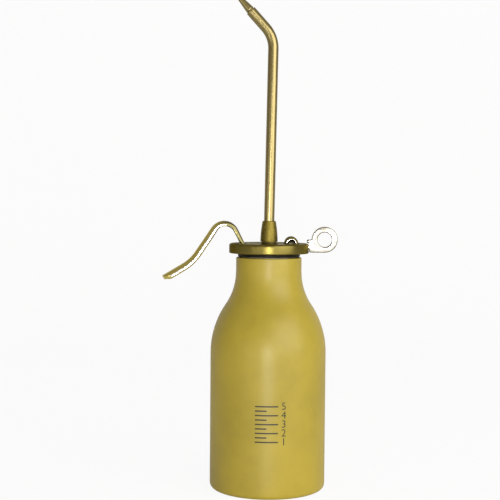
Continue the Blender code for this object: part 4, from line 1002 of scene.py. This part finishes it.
def lever_line():
    """The lever's upper surface from the arm to the tip, in fine steps."""
    arm_top = PIVOT.z - EYE_RADIUS + ARM_THICKNESS
    start = Vector((-LEVER_LOFT_FROM, arm_top))
    corners = [start, Vector((-KNEE_OUT, arm_top))]
    corners += [Vector((x, PIVOT.z + rise)) for x, rise in (LEVER_PEAK, LEVER_BREAK, LEVER_TIP)]
    bends = (0, KNEE_BEND, LEVER_PEAK_BEND, LEVER_BREAK_BEND)
    rough = [start]
    for index in range(1, len(corners) - 1):
        rough += bent_corner(corners[index - 1], corners[index], corners[index + 1], bends[index])
    rough.append(corners[-1])
    line = [rough[0]]
    for first, second in zip(rough, rough[1:]):
        count = max(1, math.ceil((second - first).length / LEVER_STEP))
        line += [first.lerp(second, step / count) for step in range(1, count + 1)]
    return line


def depth_at(x):
    """The channel's full depth under the upper surface at one X."""
    reach = PIVOT.x - LEVER_TIP[0]
    share = (PIVOT.x - x) / reach
    depth_share = LEVER_DEPTH_SHARES[-1][1]
    for (start, low), (end, high) in zip(LEVER_DEPTH_SHARES, LEVER_DEPTH_SHARES[1:]):
        if share <= end:
            part = (share - start) / (end - start)
            depth_share = low + (high - low) * part * part * (3 - 2 * part)
            break
    return ARM_THICKNESS + (LEVER_DEPTH - ARM_THICKNESS) * depth_share


def half_width_at(x, inset):
    """The lever's half width seen from above, drawn in by an inset."""
    tip_centre = LEVER_TIP[0] + LEVER_HALF_WIDTH
    if x < tip_centre:
        radius = LEVER_HALF_WIDTH - inset
        return math.sqrt(max(radius ** 2 - (tip_centre - x) ** 2, 0))
    share = min(max((-x - KNEE_OUT) / (LEVER_FULL_WIDTH_OUT - KNEE_OUT), 0), 1)
    share = share * (2 - share)
    return KNEE_HALF_WIDTH + (LEVER_HALF_WIDTH - KNEE_HALF_WIDTH) * share - inset


def channel_section(point, down, half, inner_half, depth, web):
    """One closed section of the channel, its outer corners rolled and its lips rounded."""
    roll = min(LEVER_EDGE, half * LEVER_EDGE_SHARE, depth * LEVER_ROLL_SHARE)
    lip = min(LEVER_LIP, max(half - inner_half, LEVER_THIN_WALL) * LEVER_EDGE_SHARE, depth * LEVER_LIP_SHARE)
    inner_roll = min(roll, inner_half, max(depth - web, LEVER_THIN_FLOOR)) / 2
    inner_lip = min(lip, max(half - lip - inner_half, LEVER_THIN_LIP) * INNER_LIP_SHARE)
    side = arc((half - roll, roll), roll, -QUARTER_TURN, 0, LEVER_ROLL_STEPS)
    side += arc((half - lip, depth - lip), lip, 0, QUARTER_TURN, LIP_STEPS)
    side += [(inner_half + inner_lip, depth), (inner_half, depth - inner_lip)]
    side += arc((inner_half - inner_roll, web + inner_roll), inner_roll, 0, -QUARTER_TURN, CORNER_STEPS)
    ring = side + [(-across, fall) for across, fall in side[::-1]]
    return [Vector((point.x + down.x * fall, across, point.y + down.y * fall)) for across, fall in ring]


def make_lever_channel(surface):
    """The bent channel from the knee to the closed, rounded tip."""
    line = lever_line()
    tip_start = LEVER_TIP[0] + LEVER_HALF_WIDTH
    body = [point for point in line if point.x > tip_start + LEVER_STEP / 2]
    last = body[-1]
    tip = line[-1]
    slope = (tip - last) / (tip.x - last.x)
    for step in range(LEVER_TIP_STEPS + 1):
        across = LEVER_HALF_WIDTH * math.sin(QUARTER_TURN * step / LEVER_TIP_STEPS)
        x = tip_start - min(across, LEVER_HALF_WIDTH - LEVER_THIN_LIP)
        body.append(last + slope * (x - last.x))
    rings = []
    for index, point in enumerate(body):
        along = (body[min(index + 1, len(body) - 1)] - body[max(index - 1, 0)]).normalized()
        down = Vector((-along.y, along.x))
        depth = depth_at(point.x)
        half = half_width_at(point.x, 0)
        inner_half = half_width_at(point.x, LEVER_SHEET)
        solid = inner_half < LEVER_SHEET * SOLID_HALF_SHARE or depth < LEVER_SHEET * SOLID_DEPTH_SHARE
        web = depth - LEVER_THIN_HOLLOW if solid else LEVER_SHEET
        rings.append(channel_section(point, down, half, max(inner_half, LEVER_THIN_HALF), depth, web))
    return lofted("lever_channel", rings, surface)


def make_lever_arm(surface):
    """The flat arm inside the cap: eye for the pin and a long hole for the stem."""
    bottom = PIVOT.z - EYE_RADIUS
    top = bottom + ARM_THICKNESS
    pin = (PIVOT.x, PIVOT.z)
    lift = math.asin((EYE_RADIUS - ARM_THICKNESS) / EYE_RADIUS)
    eye = arc(pin, EYE_RADIUS, -QUARTER_TURN, HALF_TURN + lift, SMALL_SIDES)
    side = eye + [(-LEVER_LOFT_FROM - GAP, top), (-LEVER_LOFT_FROM - GAP, bottom)]
    wide = ARM_HALF_WIDTH + OVERRUN
    arm = extruded("lever_arm", side, "Y", -wide, wide, surface)
    narrow = KNEE_HALF_WIDTH + (ARM_HALF_WIDTH - KNEE_HALF_WIDTH) * ARM_NARROW_SHARE
    plan = [(PIVOT.x + EYE_RADIUS + OVERRUN, EYE_HALF_WIDTH), (ARM_WIDE_TO + ARM_TAPER, EYE_HALF_WIDTH),
            (ARM_WIDE_TO, ARM_HALF_WIDTH), (-ARM_WIDE_TO, ARM_HALF_WIDTH),
            (-LEVER_LOFT_FROM, narrow + (ARM_NARROW_AT - LEVER_LOFT_FROM)),
            (-LEVER_LOFT_FROM - OVERRUN, KNEE_HALF_WIDTH)]
    plan += [(x, -y) for x, y in plan[::-1]]
    cut(arm, extruded("arm_plan", plan, "Z", bottom - OVERRUN, PIVOT.z + EYE_RADIUS + OVERRUN),
        operation="INTERSECT")
    stem_end = (STEM_EYE_LENGTH - STEM_EYE_RADIUS, 0)
    hole = arc(stem_end, STEM_EYE_RADIUS, -QUARTER_TURN, QUARTER_TURN, HOLE_STEPS)
    hole += [(-x, -y) for x, y in hole]
    cut(arm, extruded("stem_hole", hole, "Z", bottom - OVERRUN, top + OVERRUN),
        cutting_rod("arm_bore", EYE_BORE, wide, pin))
    return rounded(arm, ARM_EDGE, FINE_BEVEL)


def make_lever_pips(surface):
    """Two domed pips under the arm that press on the plunger's collar."""
    bottom = PIVOT.z - EYE_RADIUS
    root = bottom + ARM_THICKNESS / 2
    outline = [(0, root), (PIP_RADIUS, root)]
    outline += [(PIP_RADIUS * out, bottom - PIP_HEIGHT * fall)
                for out, fall in arc((0, 0), 1, 0, QUARTER_TURN, EDGE_STEPS)[:-1]]
    outline.append((0, bottom - PIP_HEIGHT))
    across = (STEM_EYE_RADIUS + ARM_HALF_WIDTH) / 2
    return [turned(f"lever_pip_{index + 1}", outline, surface, SMALL_SIDES, Matrix.Translation((0, y, 0)))
            for index, y in enumerate((across, -across))]


def make_barrel_body(surface):
    """The pump barrel with its flange, floor and the hole for the foot valve."""
    low, high = (corner.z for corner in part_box("pump_barrel"))
    wall = BARREL_RADIUS - BARREL_BORE
    under = high - BARREL_FLANGE
    rim = BARREL_ROUND / 2
    outline = [(VALVE_HOLE_RADIUS, low)]
    outline += arc((BARREL_RADIUS - BARREL_ROUND, low + BARREL_ROUND), BARREL_ROUND, -QUARTER_TURN, 0)
    outline.append((BARREL_RADIUS, under))
    outline += arc((BARREL_FLANGE_RADIUS - rim, under + rim), rim, -QUARTER_TURN, 0, CORNER_STEPS)
    outline += [(BARREL_FLANGE_RADIUS, high), (BARREL_BORE, high), (BARREL_BORE, low + wall),
                (VALVE_HOLE_RADIUS, low + wall)]
    barrel = turned("barrel_body", outline, surface, MIDDLE_SIDES)
    for index in range(BARREL_SCREWS):
        low_screw, high_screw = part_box(f"barrel_screw_{index + 1}")
        centre = ((low_screw.x + high_screw.x) / 2, (low_screw.y + high_screw.y) / 2)
        hole = arc(centre, BARREL_SCREW_RADIUS + GAP, 0, FULL_TURN, HOLE_STEPS)[:-1]
        cut(barrel, extruded("screw_hole", hole, "Z", under - OVERRUN, high + OVERRUN))
    return barrel


def make_suction_body(surface):
    """The pick-up tube, cut square at both ends and lightly chamfered."""
    low_corner, high_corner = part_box("suction_tube")
    low, high, radius = low_corner.z, high_corner.z, high_corner.x
    outline = [(SUCTION_BORE, low), (radius - SUCTION_EDGE, low), (radius, low + SUCTION_EDGE)]
    outline += [(radius, low + (high - low) * step / SUCTION_STEPS) for step in range(1, SUCTION_STEPS)]
    outline += [(radius, high - SUCTION_EDGE), (radius - SUCTION_EDGE, high), (SUCTION_BORE, high)]
    return turned("suction_body", outline, surface, SMALL_SIDES)


def dress_carried_nodes(finishes):
    """Give every node of the frame the finish of its material slot in the record."""
    for row in frame["record"]["subparts"]:
        for place in frame["nodes"][row["node"]].material_slots:
            place.material = finishes[row["material_slot"]]


def finishes_in_use():
    """The finish for each material slot of the record, made once and then kept."""
    if FINISHES:
        return FINISHES
    colours = bpy.context.scene.oiler_colours
    FINISHES["bottle_plastic"] = bottle_surface(colours)
    FINISHES["cap_metal"] = cap_surface("passivated_cap", tuple(colours.cap))
    FINISHES["hub_metal"] = cast_surface(colours)
    FINISHES["spout_metal"] = tube_surface(colours)
    # The bracket takes the cap's finish at a lower share: painted shade on its ears
    FINISHES["bracket"] = cap_surface("bracket_painted_shade", shaded(colours.cap, BRACKET_SHADE_SHARE))
    # Both platings carry painted shade where their faces turn off Y; the lever's is lighter and also darkens
    # its root
    FINISHES["bright_steel"] = plated_surface("bright_plating", colours, PAINTED_SHADE_SHARES, PAINTED_SHADE_TURNED)
    FINISHES["lever"] = plated_surface("lever_plating", colours, LEVER_PAINTED_SHADE_SHARES,
                                       LEVER_PAINTED_SHADE_TURNED, True)
    FINISHES["rubber"] = rubber_surface()
    FINISHES["plug_plastic"] = plug_surface()
    FINISHES["fibre"] = fibre_surface()
    FINISHES["ink"] = ink_surface()
    return FINISHES


def colour_setting(name, part, default):
    """The colour of one part as a setting."""
    return FloatVectorProperty(name=name, description=f"Colour of the {part}", subtype="COLOR",
                               size=3, min=0, max=1, default=default)


def length_setting(name, description, default):
    """A length as a setting."""
    return FloatProperty(name=name, description=description, unit="LENGTH", default=default)


def power_setting(name, lamp, default):
    """The power of one lamp as a setting."""
    return FloatProperty(name=name, description=f"Power of the {lamp}", unit="POWER", default=default)


class OilerColours(bpy.types.PropertyGroup):
    """Colours of the main finishes."""

    bottle: colour_setting("Bottle", "blown bottle", srgb(162, 143, 45))
    cap: colour_setting("Cap", "passivated cover", srgb(120, 108, 54))
    hub: colour_setting("Hub", "cast hub", srgb(128, 114, 52))
    spout: colour_setting("Spout", "drawn spout tube", srgb(146, 132, 88))
    plating: colour_setting("Plating", "plated lever and ring", srgb(212, 207, 194))


class OilerStudio(bpy.types.PropertyGroup):
    """Sizes and strengths of the studio."""

    lens: FloatProperty(name="Lens", description="Focal length of the camera", unit="CAMERA", default=84.4)
    distance: length_setting("Distance", "From the camera to the oiler's axis", 0.68)
    height: length_setting("Camera Height", "Height of the camera over the floor", 0.171)
    aim_height: length_setting("Aim Height", "Height of the point in the picture's middle", 0.1386)
    aim_across: length_setting("Aim Across", "X of the point in the picture's middle", -0.0110)
    roll: FloatProperty(name="Roll", description="Tilt of the camera about its own view", unit="ROTATION",
                        default=math.radians(0.45))
    key: power_setting("Front Panel", "small soft panel beside the camera", 5.0)
    side: power_setting("Right Panel", "large soft panel on the right", 12.2)
    fill: power_setting("Left Panel", "weak panel on the left", 0.8)
    card: power_setting("Face Card", "weak card that the flat faces mirror", 0.34)
    sky: FloatProperty(name="Room Light", description="Strength of the light from all around", default=0.40)


class OILER_OT_bottle(bpy.types.Operator):
    """Make the blown bottle with its mould line, its plain printed scale and the ring on its lip"""

    bl_idname = "oiler.bottle"
    bl_label = "Bottle"

    def execute(self, context):
        fit(make_bottle_shell, "bottle", "bottle_plastic", "bottle")
        fit(make_bottle_seam, "bottle", "bottle_plastic")
        fit(make_bottle_scale, "bottle", "rubber", finish="ink")
        fit(make_seal_band, "seal", "rubber", "seal_ring")
        return {"FINISHED"}


class OILER_OT_cap(bpy.types.Operator):
    """Make the pressed cover with the bracket, the pin and the hanging ring that it carries"""

    bl_idname = "oiler.cap"
    bl_label = "Cap, Bracket and Ring"

    def execute(self, context):
        fit(make_cover_shell, "head", "cap_metal", "cap_cover")
        fit(make_bracket_body, "head", "cap_metal", "pivot_bracket", finish="bracket")
        fit(make_pin_body, "head", "bright_steel", "pivot_pin")
        fit(make_ring_plate, "head", "bright_steel", "hang_ring")
        return {"FINISHED"}


class OILER_OT_spout(bpy.types.Operator):
    """Make the cast hub, the bent tube and the nozzle"""

    bl_idname = "oiler.spout"
    bl_label = "Hub and Spout"

    def execute(self, context):
        fit(make_hub_body, "spout", "hub_metal", "spout_hub")
        fit(make_tube_body, "spout", "spout_metal", "spout_tube")
        fit(make_nozzle_body, "spout", "spout_metal", "spout_nozzle")
        return {"FINISHED"}


class OILER_OT_lever(bpy.types.Operator):
    """Make the pressed thumb lever with its arm and pips"""

    bl_idname = "oiler.lever"
    bl_label = "Lever"

    def execute(self, context):
        fit(make_lever_channel, "lever", "bright_steel", "lever", finish="lever")
        fit(make_lever_arm, "lever", "bright_steel", finish="lever")
        fit(make_lever_pips, "lever", "bright_steel", finish="lever")
        return {"FINISHED"}


class OILER_OT_pump(bpy.types.Operator):
    """Finish the pump's inner pieces, which show when the head is lifted out"""

    bl_idname = "oiler.pump"
    bl_label = "Pump"

    def execute(self, context):
        dress_carried_nodes(finishes_in_use())
        fit(make_barrel_body, "head", "plug_plastic", "pump_barrel")
        fit(make_suction_body, "head", "plug_plastic", "suction_tube")
        return {"FINISHED"}


def paper_surface():
    """Pale studio paper: nearly white to the camera, faint in the metal, and dimmed by a shadow."""
    made = Surface("studio_paper", {"Roughness": 0.9, "Specular IOR Level": 0.0})
    grain = made.ramp(made.noise(PAPER_GRAIN), (0.3, (0.84, 0.84, 0.84)), (0.7, (0.87, 0.87, 0.87)))
    made.feed(made.shader, {"Base Color": grain})
    rays = made.nodes.new("ShaderNodeLightPath").outputs
    seen = made.sum(rays["Is Camera Ray"], rays["Is Transmission Ray"], "MAXIMUM")
    mirrored = made.sum(rays["Is Glossy Ray"], PAPER_SHEEN, "MULTIPLY")
    share = made.sum(made.sum(seen, PAPER_GLOW, "MULTIPLY"), mirrored, "MAXIMUM")
    glow = made.node("ShaderNodeEmission", {"Strength": 1.0}).outputs["Emission"]
    mix = made.node("ShaderNodeMixShader", {"Fac": share, 1: made.shader.outputs["BSDF"], 2: glow})
    made.feed(made.nodes["Material Output"], {"Surface": mix.outputs["Shader"]})
    return made.material


def make_backdrop(surface):
    """A sheet of paper that lies under the oiler and curves up behind it."""
    profile = [(-PAPER_REACH, 0)]
    profile += arc((PAPER_BACK - PAPER_BEND, PAPER_BEND), PAPER_BEND, -QUARTER_TURN, 0, PAPER_STEPS)
    profile.append((PAPER_BACK, PAPER_HEIGHT))
    bm = bmesh.new()
    left, right = [[bm.verts.new((x, y, z)) for y, z in profile] for x in (-PAPER_REACH, PAPER_REACH)]
    bridge(bm, left, right, False)
    return to_piece("studio_paper", bm, surface)


def panel(name, place, size, power):
    """A soft rectangular lamp that faces the oiler's head."""
    light = bpy.data.lights.new(name, "AREA")
    light.shape = "RECTANGLE"
    light.size, light.size_y = size
    light.energy = power
    lamp = new_object(name, light)
    lamp.location = place
    lamp.rotation_euler = (Vector(PANEL_AIM) - Vector(place)).to_track_quat("-Z", "Y").to_euler()


def make_room(strength):
    """Even light from all around, with white where the camera looks past the paper."""
    world = bpy.data.worlds.new("room")
    world.use_nodes = True
    nodes = world.node_tree.nodes
    room = nodes["Background"]
    white = nodes.new("ShaderNodeBackground")
    for background, colour, power in ((room, ROOM_COLOUR, strength), (white, WHITE, 1.0)):
        background.inputs["Color"].default_value = colour
        background.inputs["Strength"].default_value = power
    mix = nodes.new("ShaderNodeMixShader")
    link = world.node_tree.links.new
    link(nodes.new("ShaderNodeLightPath").outputs["Is Camera Ray"], mix.inputs["Fac"])
    link(room.outputs["Background"], mix.inputs[1])
    link(white.outputs["Background"], mix.inputs[2])
    link(mix.outputs["Shader"], nodes["World Output"].inputs["Surface"])
    bpy.context.scene.world = world


def make_camera(studio):
    """The camera in front of the oiler, above the height of its head."""
    data = bpy.data.cameras.new("camera")
    data.lens = studio.lens
    data.sensor_width = SENSOR
    data.sensor_fit = "HORIZONTAL"
    camera = new_object("camera", data)
    camera.location = (studio.aim_across, -studio.distance, studio.height)
    aim = Vector((studio.aim_across, 0, studio.aim_height))
    turn = (aim - camera.location).to_track_quat("-Z", "Y").to_matrix()
    camera.rotation_euler = (turn @ Matrix.Rotation(studio.roll, 3, "Z")).to_euler()
    bpy.context.scene.camera = camera


class OILER_OT_stage(bpy.types.Operator):
    """Set up the paper, the soft panels, the room light and the camera"""

    bl_idname = "oiler.stage"
    bl_label = "Stage"

    def execute(self, context):
        studio = context.scene.oiler_studio
        make_backdrop(paper_surface())
        panel("front_panel", *FRONT_PANEL, studio.key)
        panel("right_panel", *RIGHT_PANEL, studio.side)
        panel("left_panel", *LEFT_PANEL, studio.fill)
        panel("face_card", *FACE_CARD, studio.card)
        make_room(studio.sky)
        make_camera(studio)
        context.scene.view_settings.view_transform = "Standard"
        return {"FINISHED"}


STEPS = (OILER_OT_bottle, OILER_OT_cap, OILER_OT_spout, OILER_OT_lever, OILER_OT_pump, OILER_OT_stage)


class OILER_PT_panel(bpy.types.Panel):
    """The oiler's colours, studio and steps"""

    bl_idname = "OILER_PT_panel"
    bl_label = "Pump Oiler"
    bl_space_type = "VIEW_3D"
    bl_region_type = "UI"
    bl_category = "Oiler"

    def draw(self, context):
        column = self.layout.column(align=True)
        for group in (context.scene.oiler_colours, context.scene.oiler_studio):
            for key in group.__annotations__:
                column.prop(group, key)
        column.separator()
        for step in STEPS:
            column.operator(step.bl_idname)


CLASSES = (OilerColours, OilerStudio) + STEPS + (OILER_PT_panel,)


def register():
    """Add the classes and their settings."""
    for item in CLASSES:
        bpy.utils.register_class(item)
    bpy.types.Scene.oiler_colours = PointerProperty(type=OilerColours)
    bpy.types.Scene.oiler_studio = PointerProperty(type=OilerStudio)


def unregister():
    """Remove the settings and the classes."""
    del bpy.types.Scene.oiler_studio
    del bpy.types.Scene.oiler_colours
    for item in reversed(CLASSES):
        bpy.utils.unregister_class(item)


def main():
    """Make every piece."""
    register()
    bpy.ops.oiler.bottle()
    bpy.ops.oiler.cap()
    bpy.ops.oiler.spout()
    bpy.ops.oiler.lever()
    bpy.ops.oiler.pump()
    bpy.ops.oiler.stage()


if __name__ == "__main__":
    main()
